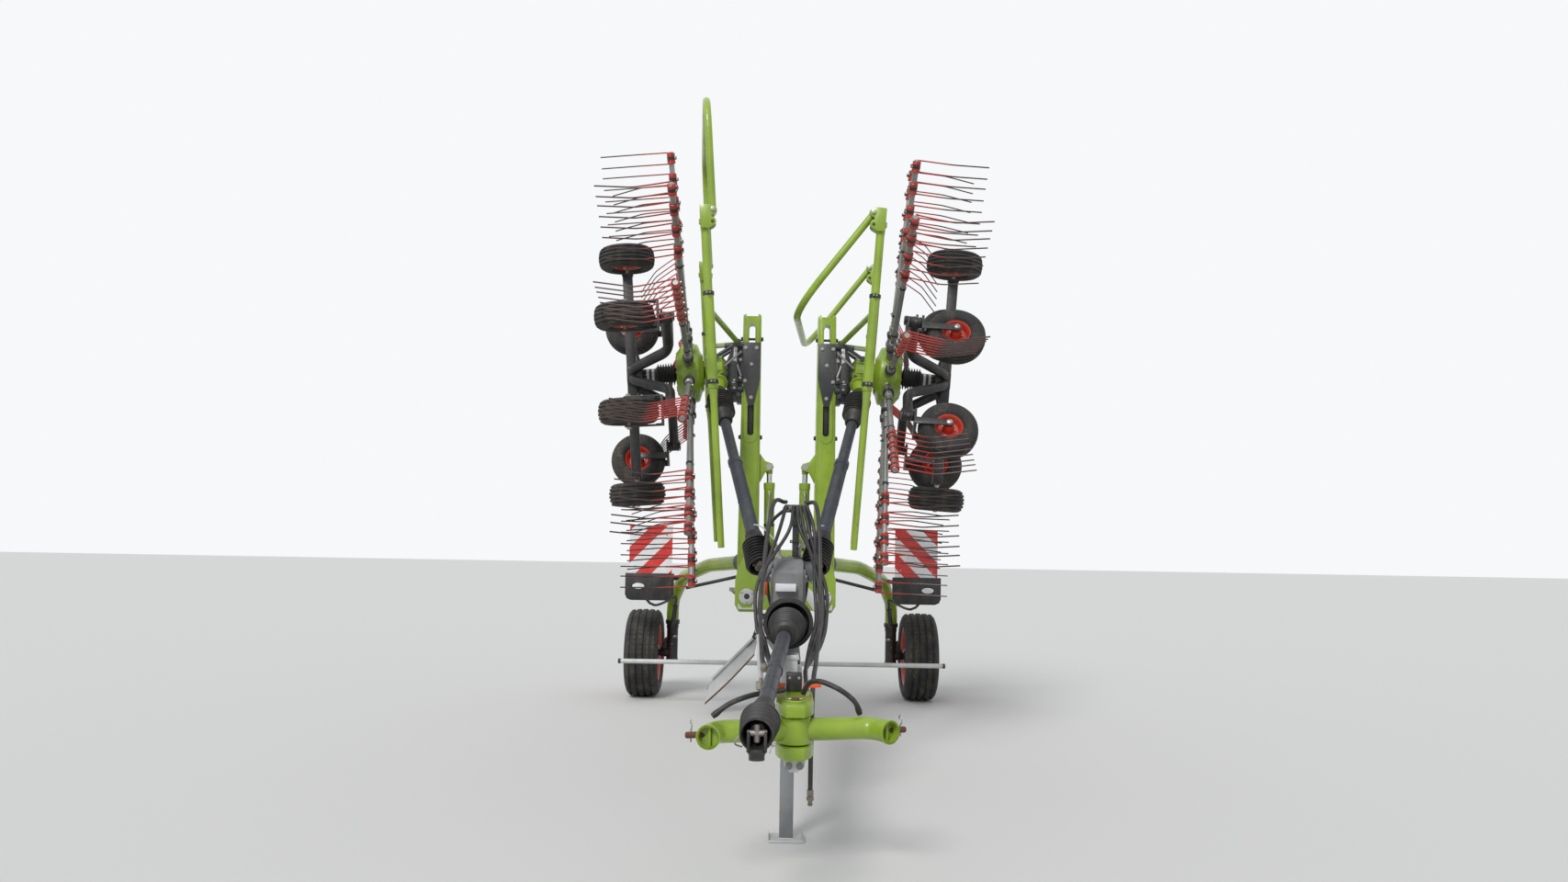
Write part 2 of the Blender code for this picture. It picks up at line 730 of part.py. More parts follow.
def knuckle(side):
    joint = at(side * KINGPIN_X, AXLE_Y - HITCH_Y, TYRE_RADIUS)
    foot = Vector((joint.x, joint.y, KNUCKLE_FOOT))
    top = Vector((joint.x, joint.y, KNUCKLE_TOP))
    sleeve = bar(foot, top, KNUCKLE_RADIUS, "black", 12)
    tip = Vector((side * SPINDLE_END, joint.y, TYRE_RADIUS))
    spindle = bar(joint, tip, SPINDLE_RADIUS, "black", 12)
    body = fuse("knuckle_" + word(side), [sleeve, spindle], joint)
    low = Vector((0, 0, KNUCKLE_FOOT + BELL_WALL - RUNNING_GAP))
    cut(
        body,
        [
            bar(
                Vector((joint.x, joint.y, low.z)),
                top + Vector((0, 0, CLEAR)),
                KINGPIN_RADIUS + RUNNING_GAP,
                "black",
                12,
            )
        ],
    )


TYRE_ROWS = [
    # share of the width, share of the tyre's radius
    (0.34, 0.0),
    (0.30, 0.28),
    (0.10, 0.56),
    (0.0, 0.62),
    (0.0, 0.82),
    (0.16, 1.0),
    (0.84, 1.0),
    (1.0, 0.82),
    (1.0, 0.62),
    (0.90, 0.56),
    (0.70, 0.28),
    (0.66, 0.0),
]
SMALL_TYRE_ROWS = [
    # share of the width, share of the tyre's radius
    (0.25, 0.0),
    (0.25, 0.34),
    (0.0, 0.60),
    (0.20, 1.0),
    (0.80, 1.0),
    (1.0, 0.60),
    (0.75, 0.34),
    (0.75, 0.0),
]
BIG_STEPS = 16
SMALL_STEPS = 12


def wheel(name, centre, axle, radius, width, bore, rows, steps):
    half = axle.normalized() * width / 2
    profile = [(share, max(bore, height * radius)) for share, height in rows]
    fuse(name, [ring(profile, centre - half, centre + half, "rubber", steps)], centre)


def transport_wheel(side):
    centre = Vector((side * TRACK_HALF, AXLE_Y, TYRE_RADIUS))
    bore = SPINDLE_RADIUS + RUNNING_GAP
    name = "transport_wheel_" + word(side)
    axle = Vector((1, 0, 0))
    wheel(name, centre, axle, TYRE_RADIUS, TYRE_WIDTH, bore, TYRE_ROWS, BIG_STEPS)


# The lifting arm, one per side. Lengths on the right, mirrored to the left.
FOOT_BOSS = 0.058
LUG_PLATE = 0.014
LUG_INNER = 0.036
LUG_TOP = 2.12
LUG_FOOT = 1.86
LUG_RADIUS = 0.032
SLOT_ROWS = [
    # foot, top
    (2.225, 2.46),
    (2.73, 3.02),
]
EYE_RADIUS = 0.028
EYE_HALF = 0.03
BARREL_TOP = 1.80
BARREL_LIP = 0.044


def mast_half(z):
    share = (z - MAST_FOOT) / (MAST_TOP - MAST_FOOT)
    return MAST_HALF + share * (MAST_TIP_HALF - MAST_HALF)


def mast(side):
    joint = Vector((side * PIVOT_X, ARM_Y, PIVOT_Z))
    outline = [
        (PIVOT_X - MAST_HALF, MAST_FOOT),
        (PIVOT_X + MAST_HALF, MAST_FOOT),
        (PIVOT_X + MAST_TIP_HALF, MAST_TOP),
        (PIVOT_X - MAST_TIP_HALF, MAST_TOP),
    ]
    low, high = ARM_Y - MAST_DEPTH / 2, ARM_Y + MAST_DEPTH / 2
    pieces = [plate(outline, low, high, "xz", "green")]
    reach = Vector((0, BRACKET_GAP / 2 - BRACKET_PLATE / 2 - CLEAR, 0))
    foot = Vector((PIVOT_X, ARM_Y, PIVOT_Z))
    pieces.append(bar(foot - reach, foot + reach, FOOT_BOSS, "green", 14))
    inner = PIVOT_X - mast_half(LIFT_EYE_Z) + LUG_PLATE
    lug = [
        (inner, LUG_FOOT),
        (inner, LUG_TOP),
        (LIFT_EYE_X, LIFT_EYE_Z + LUG_RADIUS),
        (LIFT_EYE_X - LUG_RADIUS, LIFT_EYE_Z),
        (LIFT_EYE_X, LIFT_EYE_Z - LUG_RADIUS),
    ]
    for way in (-1, 1):
        near = ARM_Y + way * LUG_INNER
        far = near + way * LUG_PLATE
        pieces.append(plate(lug, min(near, far), max(near, far), "xz", "green"))
        spot = Vector((LIFT_EYE_X, 0, LIFT_EYE_Z))
        ends = (spot + Vector((0, near + way * GAP, 0)), spot + Vector((0, far + way * LUG_PLATE, 0)))
        pieces.append(bar(*ends, LIFT_PIN, "steel", 10))
    mirror = mirror_frame(side)
    body = fuse("mast_" + word(side), [moved(piece, mirror) for piece in pieces], joint)
    cutters = [bar(foot - reach * 2, foot + reach * 2, PIVOT_RADIUS + RUNNING_GAP, "green", 14)]
    for low_z, high_z in SLOT_ROWS:
        centre = Vector((PIVOT_X, ARM_Y, (low_z + high_z) / 2))
        cutters.append(block(centre, (SLOT_HALF * 2, MAST_DEPTH * 2, high_z - low_z), "black"))
    cut(body, [moved(piece, mirror) for piece in cutters])


def lift_cylinder(side):
    mirror = mirror_frame(side)
    base = Vector((LIFT_BASE_X, ARM_Y, LIFT_BASE_Z))
    eye = Vector((LIFT_EYE_X, ARM_Y, LIFT_EYE_Z))
    way = (eye - base).normalized()
    top = base + way * (BARREL_TOP - LIFT_BASE_Z)
    half = Vector((0, EYE_HALF, 0))
    foot = bar(base - half, base + half, EYE_RADIUS, "green", 12)
    barrel = bar(base, top, BARREL_RADIUS, "green", 12)
    pieces = [moved(piece, mirror) for piece in (foot, barrel)]
    body = fuse("lift_barrel_" + word(side), pieces, mirror @ base)
    pin = bar(base - half * 2, base + half * 2, LIFT_PIN + RUNNING_GAP, "green", 12)
    start = base + way * BARREL_RADIUS * 2
    bore = bar(start, top + way * CLEAR, ROD_RADIUS + RUNNING_GAP, "green", 12)
    cut(body, [moved(piece, mirror) for piece in (pin, bore)])
    rod_start = start + way * CLEAR
    rod = bar(rod_start, eye, ROD_RADIUS, "steel", 12)
    head = bar(eye - half, eye + half, EYE_RADIUS, "green", 12)
    pieces = [moved(piece, mirror) for piece in (rod, head)]
    fuse("lift_rod_" + word(side), pieces, mirror @ eye)


# Side drive shafts: the outer half turns on the centre gearbox, the inner half slides in it.
SHAFT_GUARD = 0.045
SHAFT_INNER = 0.036
BOOT_ROWS = [
    # share of the boot's length, radius
    (0.0, 0.062),
    (0.2, 0.080),
    (0.35, 0.066),
    (0.5, 0.078),
    (0.65, 0.062),
    (0.8, 0.070),
    (1.0, 0.045),
]
BOOT_LENGTH = 0.24
SHAFT_START = 0.035
SHAFT_END = 0.03
OUTER_LENGTH = 0.95
INNER_START = 0.30


def drive_shaft(side):
    mirror = mirror_frame(side)
    low = at(SIDE_X, SIDE_STATION, SIDE_Z)
    high = at(*SIDE_TOP)
    way = (high - low).normalized()
    start = low + way * (SHAFT_START + SIDE_NECK)
    boot = turned(BOOT_ROWS, start, start + way * BOOT_LENGTH, "black", 12)
    guard = bar(start + way * BOOT_LENGTH / 2, low + way * OUTER_LENGTH, SHAFT_GUARD, "slate", 12)
    pieces = [moved(piece, mirror) for piece in (boot, guard)]
    body = fuse("shaft_outer_" + word(side), pieces, mirror @ low)
    bore_start = low + way * (INNER_START - CLEAR)
    bore = bar(
        bore_start, low + way * (OUTER_LENGTH + CLEAR), SHAFT_INNER + RUNNING_GAP, "slate", 12
    )
    cut(body, [moved(bore, mirror)])
    end = high - way * SHAFT_END
    inner = bar(low + way * INNER_START, end - way * BOOT_LENGTH / 2, SHAFT_INNER, "slate", 12)
    top_boot = turned(BOOT_ROWS, end, end - way * BOOT_LENGTH, "black", 12)
    pieces = [moved(piece, mirror) for piece in (inner, top_boot)]
    fuse("shaft_inner_" + word(side), pieces, mirror @ high)


# The rotor: what stands still on the arm, in the rotor's own frame.
DOME_HALF = 0.10
DOME_RADIUS = 0.21
AXLE_RADIUS = 0.045
AXLE_END = 0.345
HOUSING_START = -0.30
HOUSING_RADIUS = 0.12
HOUSING_NECK = 0.09
BELLOWS_RADIUS = 0.085
BELLOWS_END = 0.25
INPUT_BOSS = 0.055
INPUT_SHORT = 0.05
MOUNT_FOOT = 2.46
MOUNT_TOP = 2.88
MOUNT_DEPTH = 0.07
MOUNT_THICK = 0.035
STRUT_RADIUS = 0.02
GUSSET_INSET = 0.02
GUSSET_HALF = 0.06
GUSSET_THICK = 0.02


def rotor_mount(side):
    mirror = mirror_frame(side)
    frame = rotor_frame(1)
    rows = [(0.0, HOUSING_NECK), (0.3, HOUSING_RADIUS), (0.8, HOUSING_RADIUS), (1.0, HOUSING_NECK)]
    dome_edge = DOME_HALF + CLEAR
    housing = turned(rows, (HOUSING_START, 0, 0), (-dome_edge, 0, 0), "green", 14)
    axle = bar((-dome_edge - CLEAR, 0, 0), (AXLE_END, 0, 0), AXLE_RADIUS, "black", 12)
    folds = [
        (0.0, BELLOWS_RADIUS),
        (0.25, BELLOWS_RADIUS * 1.15),
        (0.5, BELLOWS_RADIUS),
        (0.75, BELLOWS_RADIUS * 1.1),
        (1.0, AXLE_RADIUS * 1.2),
    ]
    bellows = turned(folds, (dome_edge, 0, 0), (BELLOWS_END, 0, 0), "black", 12)
    pieces = [moved(piece, frame) for piece in (housing, axle, bellows)]
    heart = frame @ Vector(((HOUSING_START - dome_edge) / 2, 0, 0))
    joint = at(*SIDE_TOP)
    way = (joint - heart).normalized()
    pieces.append(bar(heart, joint - way * INPUT_SHORT, INPUT_BOSS, "silver", 10))
    face = [PIVOT_X + mast_half(z) + GAP for z in (MOUNT_FOOT, MOUNT_TOP)]
    outline = [
        (face[0], MOUNT_FOOT),
        (face[0] + MOUNT_THICK, MOUNT_FOOT),
        (face[1] + MOUNT_THICK, MOUNT_TOP),
        (face[1], MOUNT_TOP),
    ]
    pieces.append(plate(outline, ARM_Y - MOUNT_DEPTH, ARM_Y + MOUNT_DEPTH, "xz", "slate"))
    back = face[0] + MOUNT_THICK / 2
    outline = [
        (back, MOUNT_FOOT + GUSSET_INSET),
        (heart.x, heart.z - GUSSET_HALF),
        (heart.x, heart.z + GUSSET_HALF),
        (back, MOUNT_TOP - GUSSET_INSET),
    ]
    for way in (-1, 1):
        middle = ARM_Y + way * (MOUNT_DEPTH - GUSSET_THICK)
        ends = (middle - GUSSET_THICK / 2, middle + GUSSET_THICK / 2)
        pieces.append(plate(outline, *ends, "xz", "slate"))
    start = Vector((back + MOUNT_THICK, ARM_Y, (MOUNT_FOOT + MOUNT_TOP) / 2))
    pieces.append(bar(start, heart, HOUSING_NECK, "slate", 10))
    fuse("rotor_mount_" + word(side), [moved(piece, mirror) for piece in pieces])


# The rake chassis under the rotor.
CENTRE_BLOCK = 0.12
BEAM_SIZE = 0.07
NECK_RADIUS = 0.035
NECK_X = 0.150
NECK_BENDS = [
    # share of the way to the castor, share of the drop
    (0.0, 1.0),
    (0.12, 1.0),
    (0.42, 0.0),
    (1.0, 0.0),
]
SLEEVE_RADIUS = 0.038
SLEEVE_START = 0.115
SLEEVE_END = 0.190
FIXED_Z = 0.86
STUB_START = 0.745
WHEEL_PIN = 0.0135
STUB_PROUD = 0.04
CASTOR_TRAIL = 0.10
CASTOR_PIN = 0.02
CROWN_THICK = 0.02
CROWN_HALF = 0.104
CROWN_REAR = 0.045
CROWN_WIDTH = 0.09
LEG_THICK = 0.012
LEG_WIDTH = 0.05
LEG_END = 0.455
CAP_THICK = 0.012
CASTORS = [
    # letter, y, z, rest turn left, rest turn right: 0 points forward, 90 hangs down
    ("b", -0.54, 0.32, 0, 60),
    ("c", -0.54, -0.32, 0, 60),
    ("d", 0.40, -0.50, 75, 75),
    ("f", 0.40, 0.50, 75, 75),
]


def chassis(side):
    frame = rotor_frame(1)
    mirror = mirror_frame(side)
    start = AXLE_END + GAP
    centre_end = WHEEL_DROP + BEAM_SIZE / 2
    size = (centre_end - start, CENTRE_BLOCK, CENTRE_BLOCK)
    pieces = [block(Vector(((start + centre_end) / 2, 0, 0)), size, "slate")]
    beam_size = (BEAM_SIZE, BEAM_SIZE, STUB_START * 2)
    pieces.append(block(Vector((WHEEL_DROP, 0, 0)), beam_size, "slate"))
    reach = FIXED_Z + STUB_PROUD
    pieces.append(bar((WHEEL_DROP, 0, -reach), (WHEEL_DROP, 0, reach), WHEEL_PIN, "steel", 10))
    for _, y, z, _, _ in CASTORS:
        line = []
        for share, drop in NECK_BENDS:
            line.append((NECK_X + drop * (WHEEL_DROP - NECK_X), y * share, z * share))
        pieces.append(pipe(line, NECK_RADIUS, "slate", 0))
        pieces.append(bar((SLEEVE_START, y, z), (SLEEVE_END, y, z), SLEEVE_RADIUS, "slate", 12))
    body = fuse("chassis_" + word(side), [moved(piece, mirror @ frame) for piece in pieces])
    bores = []
    for _, y, z, _, _ in CASTORS:
        ends = ((SLEEVE_START - CLEAR, y, z), (SLEEVE_END + CLEAR, y, z))
        bores.append(bar(*ends, CASTOR_PIN + RUNNING_GAP, "slate", 10))
    cut(body, [moved(bore, mirror @ frame) for bore in bores])


def castor(side, letter, y, z, turn):
    frame = rotor_frame(side)
    pivot = Vector((0, y, z))
    angle = math.radians(turn)
    back = Vector((0, -math.cos(angle), -math.sin(angle)))
    axle = Vector((0, -back.z, back.y))
    square = Matrix((Vector((1, 0, 0)), back, axle)).transposed().to_4x4()
    top = SLEEVE_START - RUNNING_GAP
    crown_start = SLEEVE_END + RUNNING_GAP
    crown_end = crown_start + CROWN_THICK
    pin = bar(pivot + Vector((top - CAP_THICK, 0, 0)), pivot + Vector((crown_end, 0, 0)), CASTOR_PIN, "steel", 10)
    cap = bar(pivot + Vector((top - CAP_THICK, 0, 0)), pivot + Vector((top, 0, 0)), SLEEVE_RADIUS, "slate", 10)
    crown_far = CASTOR_TRAIL
    centre = Vector(((crown_start + crown_end) / 2, 0, 0)) + back * (crown_far - CROWN_REAR) / 2
    crown = block(pivot + centre, (CROWN_THICK, crown_far + CROWN_REAR, CROWN_WIDTH), "slate", square)
    inner = CROWN_HALF - LEG_THICK
    outline = [
        (crown_start, -CROWN_HALF),
        (LEG_END, -CROWN_HALF),
        (LEG_END, -inner),
        (crown_end, -inner),
        (crown_end, inner),
        (LEG_END, inner),
        (LEG_END, CROWN_HALF),
        (crown_start, CROWN_HALF),
    ]
    near = CASTOR_TRAIL - LEG_WIDTH / 2
    legs = plate(outline, near, near + LEG_WIDTH, "xz", "slate")
    pieces = [crown, moved(legs, Matrix.Translation(pivot) @ square), pin, cap]
    hub = pivot + Vector((WHEEL_DROP, 0, 0)) + back * CASTOR_TRAIL
    reach = axle * (CROWN_HALF + LEG_THICK / 2)
    pieces.append(bar(hub - reach, hub + reach, WHEEL_PIN, "steel", 8))
    joint = frame @ (pivot + Vector((crown_start, 0, 0)))
    name = f"{word(side)}_{letter}"
    fuse("castor_" + name, [moved(piece, frame) for piece in pieces], joint)
    rake_wheel(side, name, frame @ hub, frame.to_3x3() @ axle)


def rake_wheel(side, name, centre, axle):
    bore = WHEEL_PIN + RUNNING_GAP
    radius, width = RAKE_TYRE_RADIUS, RAKE_TYRE_WIDTH
    wheel("rake_wheel_" + name, centre, axle, radius, width, bore, SMALL_TYRE_ROWS, SMALL_STEPS)


def rake_wheels(side):
    frame = rotor_frame(side)
    for letter, z in (("a", FIXED_Z), ("e", -FIXED_Z)):
        centre = frame @ Vector((WHEEL_DROP, 0, z))
        rake_wheel(side, f"{word(side)}_{letter}", centre, frame.to_3x3() @ Vector((0, 0, 1)))
    for letter, y, z, turn_left, turn_right in CASTORS:
        castor(side, letter, y, z, turn_right if side > 0 else turn_left)


# The reel: a dome, twelve arms and their spring tines.
ARM_ROOT = 0.16
ARM_RADIUS = 0.019
SOCKET_RADIUS = 0.030
FINGER_RADIUS = 0.006
COIL_RADIUS = 0.027
COIL_SHARE = 0.008
SOCKET_SHARE = 0.17
ARM_SIDES = 5
FINGER_SIDES = 3
TINE_PAIRS = [
    # share of the arm's length at the first finger, at the second
    (0.650, 0.702),
    (0.752, 0.803),
    (0.853, 0.904),
    (0.947, 0.996),
]
FINGER_LINE = [
    # share of the tine's length down, share aside
    (0.0, 0.04),
    (0.50, -0.02),
    (1.0, 0.07),
]
REEL_TURN = {-1: math.radians(17), 1: math.radians(28)}
PITCH = [
    # degrees that each arm's tines are rolled back by its cam, from the first arm on
    0, 0, 0, 0, 0, 0, 0, 12, 45, 68, 45, 12,
]


def finger(share):
    """One sprung finger under the arm at a share of its length, kinked at the middle."""
    bm = bmesh.new()
    rings = []
    for down, aside in FINGER_LINE:
        ring_verts = []
        for number in range(FINGER_SIDES):
            turn = number * math.tau / FINGER_SIDES
            spot = (
                down * TINE_LENGTH,
                aside * TINE_LENGTH + FINGER_RADIUS * math.sin(turn),
                share * ARM_TIP + FINGER_RADIUS * math.cos(turn),
            )
            ring_verts.append(bm.verts.new(spot))
        rings.append(ring_verts)
    for low, high in zip(rings, rings[1:]):
        for a in range(FINGER_SIDES):
            b = (a + 1) % FINGER_SIDES
            bm.faces.new((low[a], low[b], high[b], high[a]))
    bm.faces.new(rings[0])
    bm.faces.new(rings[-1])
    return solid(bm, "red")


def tine_arm(roll):
    """One arm along +z from the rotor's axis with its coils, its tines along +x before their roll."""
    start = ARM_ROOT / ARM_TIP
    rows = [(0.0, SOCKET_RADIUS), (SOCKET_SHARE, ARM_RADIUS)]
    for pair in TINE_PAIRS:
        low, high = ((share - start) / (1 - start) for share in pair)
        low -= COIL_SHARE
        high = min(high + COIL_SHARE, 1.0)
        rows += [(low, ARM_RADIUS), (low, COIL_RADIUS), (high, COIL_RADIUS)]
        if high < 1.0:
            rows.append((high, ARM_RADIUS))
    arm = turned(rows, (0, 0, ARM_ROOT), (0, 0, ARM_TIP), "steel", ARM_SIDES)
    flat = Matrix.Rotation(math.pi / ARM_SIDES, 4, "Z")
    fingers = [finger(share) for pair in TINE_PAIRS for share in pair]
    return moved(union([moved(arm, flat), *fingers]), roll)


def reel(side):
    frame = rotor_frame(side)
    rows = [
        (0.0, AXLE_RADIUS + CLEAR / 2),
        (0.0, DOME_RADIUS * 0.62),
        (0.2, DOME_RADIUS),
        (0.8, DOME_RADIUS),
        (1.0, DOME_RADIUS * 0.76),
        (1.0, AXLE_RADIUS + CLEAR / 2),
    ]
    dome = ring(rows, (-DOME_HALF, 0, 0), (DOME_HALF, 0, 0), "green", 16)
    pieces = [dome]
    tilt = Matrix.Rotation(math.atan2(ARM_DROP, ARM_TIP), 4, "Y")
    for number in range(ARM_COUNT):
        angle = REEL_TURN[side] + number * math.tau / ARM_COUNT
        spin = Matrix.Rotation(angle, 4, "X")
        roll = Matrix.Rotation(math.radians(PITCH[number]), 4, "Z")
        pieces.append(moved(tine_arm(roll), spin @ tilt))
    joint = frame @ Vector((0, 0, 0))
    fuse("reel_" + word(side), [moved(piece, frame) for piece in pieces], joint)


# The guard round the rotor and its folding bow.
BRACE_Z = 0.30
BRACE_END = (-0.315, 0.10, 0.16)
HINGE_HALF = 0.035
HINGE_THICK = 0.014
HINGE_PIN = 0.010
HINGE_OFFSET = 0.055
BOW_BEND = 0.30


def guard(side):
    frame = rotor_frame(1)
    mirror = mirror_frame(side)
    pieces = []
    plate_z = MOUNT_TOP + GAP
    for y in (GUARD_FRONT, GUARD_REAR):
        top = (GUARD_X, y, GUARD_TOP - HINGE_HALF)
        pieces.append(bar((GUARD_X, y, GUARD_FOOT), top, GUARD_RADIUS, "green", 10))
    pieces = [moved(piece, frame) for piece in pieces]
    x = PIVOT_X + mast_half(MOUNT_TOP) + MOUNT_THICK / 2 + CLEAR * 2
    seat = Vector((x, ARM_Y, plate_z + STRUT_RADIUS))
    for y in (GUARD_FRONT, GUARD_REAR):
        pieces.append(bar(frame @ Vector((GUARD_X, y, BRACE_Z)), seat, STRUT_RADIUS, "green", 6))
    size = (MOUNT_THICK, MOUNT_DEPTH * 2, STRUT_RADIUS * 2)
    pieces.append(block(seat, size, "slate"))
    for y in (GUARD_FRONT, GUARD_REAR):
        pieces += hinge_plates(frame, y)
    fuse("guard_" + word(side), [moved(piece, mirror) for piece in pieces])


def hinge_plates(frame, y):
    """A collar with two cheeks and the pin through them, the pin inboard of the tube."""
    wide = GUARD_RADIUS + HINGE_THICK
    collar = block(
        Vector((GUARD_X, y, GUARD_TOP - HINGE_HALF * 2)),
        (GUARD_RADIUS * 2, wide * 2, HINGE_HALF),
        "black",
    )
    pieces = [collar]
    for way in (-1, 1):
        centre = Vector((GUARD_X - HINGE_OFFSET / 2, y + way * wide, GUARD_TOP - HINGE_HALF / 2))
        size = (HINGE_OFFSET + HINGE_HALF * 2, HINGE_THICK, HINGE_HALF * 4)
        pieces.append(block(centre, size, "green"))
    reach = Vector((0, wide + HINGE_THICK, 0))
    spot = Vector((GUARD_X - HINGE_OFFSET, y, GUARD_TOP))
    pieces.append(bar(spot - reach, spot + reach, HINGE_PIN, "steel", 8))
    return [moved(piece, frame) for piece in pieces]


def bow(side):
    fold = 0 if side < 0 else BOW_FOLD
    frame = rotor_frame(side)
    hinge = Vector((GUARD_X - HINGE_OFFSET, (GUARD_FRONT + GUARD_REAR) / 2, GUARD_TOP))
    half = (GUARD_REAR - GUARD_FRONT) / 2
    line = [
        (0, -half, HINGE_HALF / 2),
        (0, -half, BOW_LENGTH),
        (0, half, BOW_LENGTH),
        (0, half, HINGE_HALF / 2),
    ]
    turn = Matrix.Translation(hinge) @ Matrix.Rotation(-fold, 4, "Y")
    pieces = [pipe(rounded(line, BOW_BEND, 3), GUARD_RADIUS - HINGE_THICK / 4, "green", 2)]
    eye_half = GUARD_RADIUS - CLEAR / 2
    for y in (-half, half):
        ends = ((0, y - eye_half, 0), (0, y + eye_half, 0))
        pieces.append(bar(*ends, GUARD_RADIUS, "green", 10))
    joint = frame @ hinge
    body = fuse("bow_" + word(side), [moved(piece, frame @ turn) for piece in pieces], joint)
    bores = []
    for y in (-half, half):
        ends = ((0, y - GUARD_RADIUS * 2, 0), (0, y + GUARD_RADIUS * 2, 0))
        bores.append(bar(*ends, HINGE_PIN + RUNNING_GAP, "green", 8))
    cut(body, [moved(bore, frame @ turn) for bore in bores])


# Hoses that hang free. Rows are x, station, z.
HOSE_RADIUS = 0.012
HOSE_STEP = 0.072
HOSES = {
    "hose_left": [
        (-0.02, 1.60, 1.735),
        (-0.10, 1.30, 1.70),
        (-0.15, 0.95, 1.25),
        (-0.14, 0.60, 0.98),
        (-0.125, 0.30, 0.93),
    ],
    "hose_right": [
        (0.10, 1.60, 1.735),
        (0.16, 1.35, 1.68),
        (0.17, 1.05, 1.20),
        (0.14, 0.70, 0.93),
        (0.122, 0.54, 0.86),
        (0.113, 0.45, 0.76),
        (0.110, 0.42, 0.62),
        (0.108, 0.41, 0.46),
        (0.108, 0.405, 0.31),
    ],
    "cable_left": [
        (-0.03, 0.22, 0.84),
        (-0.09, 0.10, 0.848),
        (-0.18, -0.02, 0.85),
        (-0.27, -0.06, 0.82),
        (-0.335, -0.08, 0.775),
    ],
    "cable_right": [
        (0.06, 0.16, 0.835),
        (0.085, 0.11, 0.89),
        (0.14, 0.05, 0.905),
        (0.23, 0.02, 0.87),
        (0.29, 0.03, 0.82),
        (0.31, 0.05, 0.775),
    ],
}


def smooth_line(points, step):
    """Points a step apart on a curve that passes through all the given ones."""
    points = [Vector(p) for p in points]
    padded = [points[0] * 2 - points[1], *points, points[-1] * 2 - points[-2]]
    line = []
    for a, b, c, d in zip(padded, padded[1:], padded[2:], padded[3:]):
        count = max(2, round((c - b).length / step))
        for number in range(count):
            t = number / count
            curve = (
                b * 2
                + (c - a) * t
                + (a * 2 - b * 5 + c * 4 - d) * t * t
                + (b * 3 - a - c * 3 + d) * t * t * t
            )
            line.append(curve / 2)
    line.append(points[-1])
    return line


def hoses():
    for name, rows in HOSES.items():
        line = smooth_line([at(*row) for row in rows], HOSE_STEP)
        fuse(name, [pipe(line, HOSE_RADIUS, "black", 2)])


def build():
    drawbar()
    jack_leg()
    headstock()
    gearbox_centre()
    pto_shaft()
    hose_stand()
    axle_arch()
    cross_tube()
    deflector()
    for side in (-1, 1):
        light_board(side)
        knuckle(side)
        transport_wheel(side)
        mast(side)
        lift_cylinder(side)
        drive_shaft(side)
        rotor_mount(side)
        chassis(side)
        rake_wheels(side)
        reel(side)
        guard(side)
        bow(side)
    hoses()


build()
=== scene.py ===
from math import atan2, cos, pi, radians, sin, tau

import bmesh
import bpy
from mathutils import Matrix, Vector


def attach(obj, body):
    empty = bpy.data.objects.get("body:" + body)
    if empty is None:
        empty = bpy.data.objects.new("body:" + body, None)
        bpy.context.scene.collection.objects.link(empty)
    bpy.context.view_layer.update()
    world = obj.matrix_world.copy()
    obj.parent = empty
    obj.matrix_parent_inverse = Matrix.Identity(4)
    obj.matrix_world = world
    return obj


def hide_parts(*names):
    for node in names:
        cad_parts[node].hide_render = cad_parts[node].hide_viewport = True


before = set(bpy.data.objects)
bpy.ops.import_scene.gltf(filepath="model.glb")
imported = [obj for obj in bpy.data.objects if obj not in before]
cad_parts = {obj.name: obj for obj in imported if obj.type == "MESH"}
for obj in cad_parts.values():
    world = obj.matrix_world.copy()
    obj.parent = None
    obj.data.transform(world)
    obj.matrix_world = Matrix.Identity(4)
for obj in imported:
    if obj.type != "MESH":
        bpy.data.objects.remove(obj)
for startup in ("Cube", "Light", "Camera"):  # the empty file's own things
    if startup in bpy.data.objects:
        bpy.data.objects.remove(bpy.data.objects[startup])
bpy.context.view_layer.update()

# Places shared by many pieces, in metres. Stations run rearwards from the hitch pin.
hitchY = -2.435
armY = 0.565
axleY = 2.765
sides = {"left": -1, "right": 1}
origin = (0, 0, 0)
outboard, rearward, upward = (1, 0, 0), (0, 1, 0), (0, 0, 1)


def spot(x, station, z):
    return Vector((x, hitchY + station, z))


def stationY(station):
    return spot(0, station, 0).y


def rotorPlace(side):  # the rotor's own frame: x outboard, y rearwards, z up
    turn = Matrix.Rotation(radians(-4), 4, "Z") @ Matrix.Rotation(radians(4.1), 4, "Y")
    right = Matrix.Translation((0.717, armY, 2.677)) @ turn
    return right if side > 0 else Matrix.Diagonal((-1, 1, 1, 1)) @ right


def mirrorPlace(side):
    return Matrix.Diagonal((side, 1, 1, 1))


# Camera: held at a standing person's height, tipped up and rolled a little
cameraLook = {
    "place": (-0.09, -7.435, 1.65),
    "tiltUp": 3.9,
    "turnRight": 0.45,
    "roll": 1.0,
    "lens": 25.31,
    "sensor": 36.0,
}


def setCamera(look):
    data = bpy.data.cameras.new("yardCamera")
    data.lens = look["lens"]
    data.sensor_width = look["sensor"]
    data.clip_end = 200
    eye = bpy.data.objects.new("yardCamera", data)
    bpy.context.scene.collection.objects.link(eye)
    turn = Matrix.Rotation(radians(-look["turnRight"]), 4, "Z")
    tilt = Matrix.Rotation(radians(90 + look["tiltUp"]), 4, "X")
    roll = Matrix.Rotation(radians(look["roll"]), 4, "Z")
    eye.matrix_world = Matrix.Translation(look["place"]) @ turn @ tilt @ roll
    bpy.context.scene.camera = eye


setCamera(cameraLook)
print("camera set")

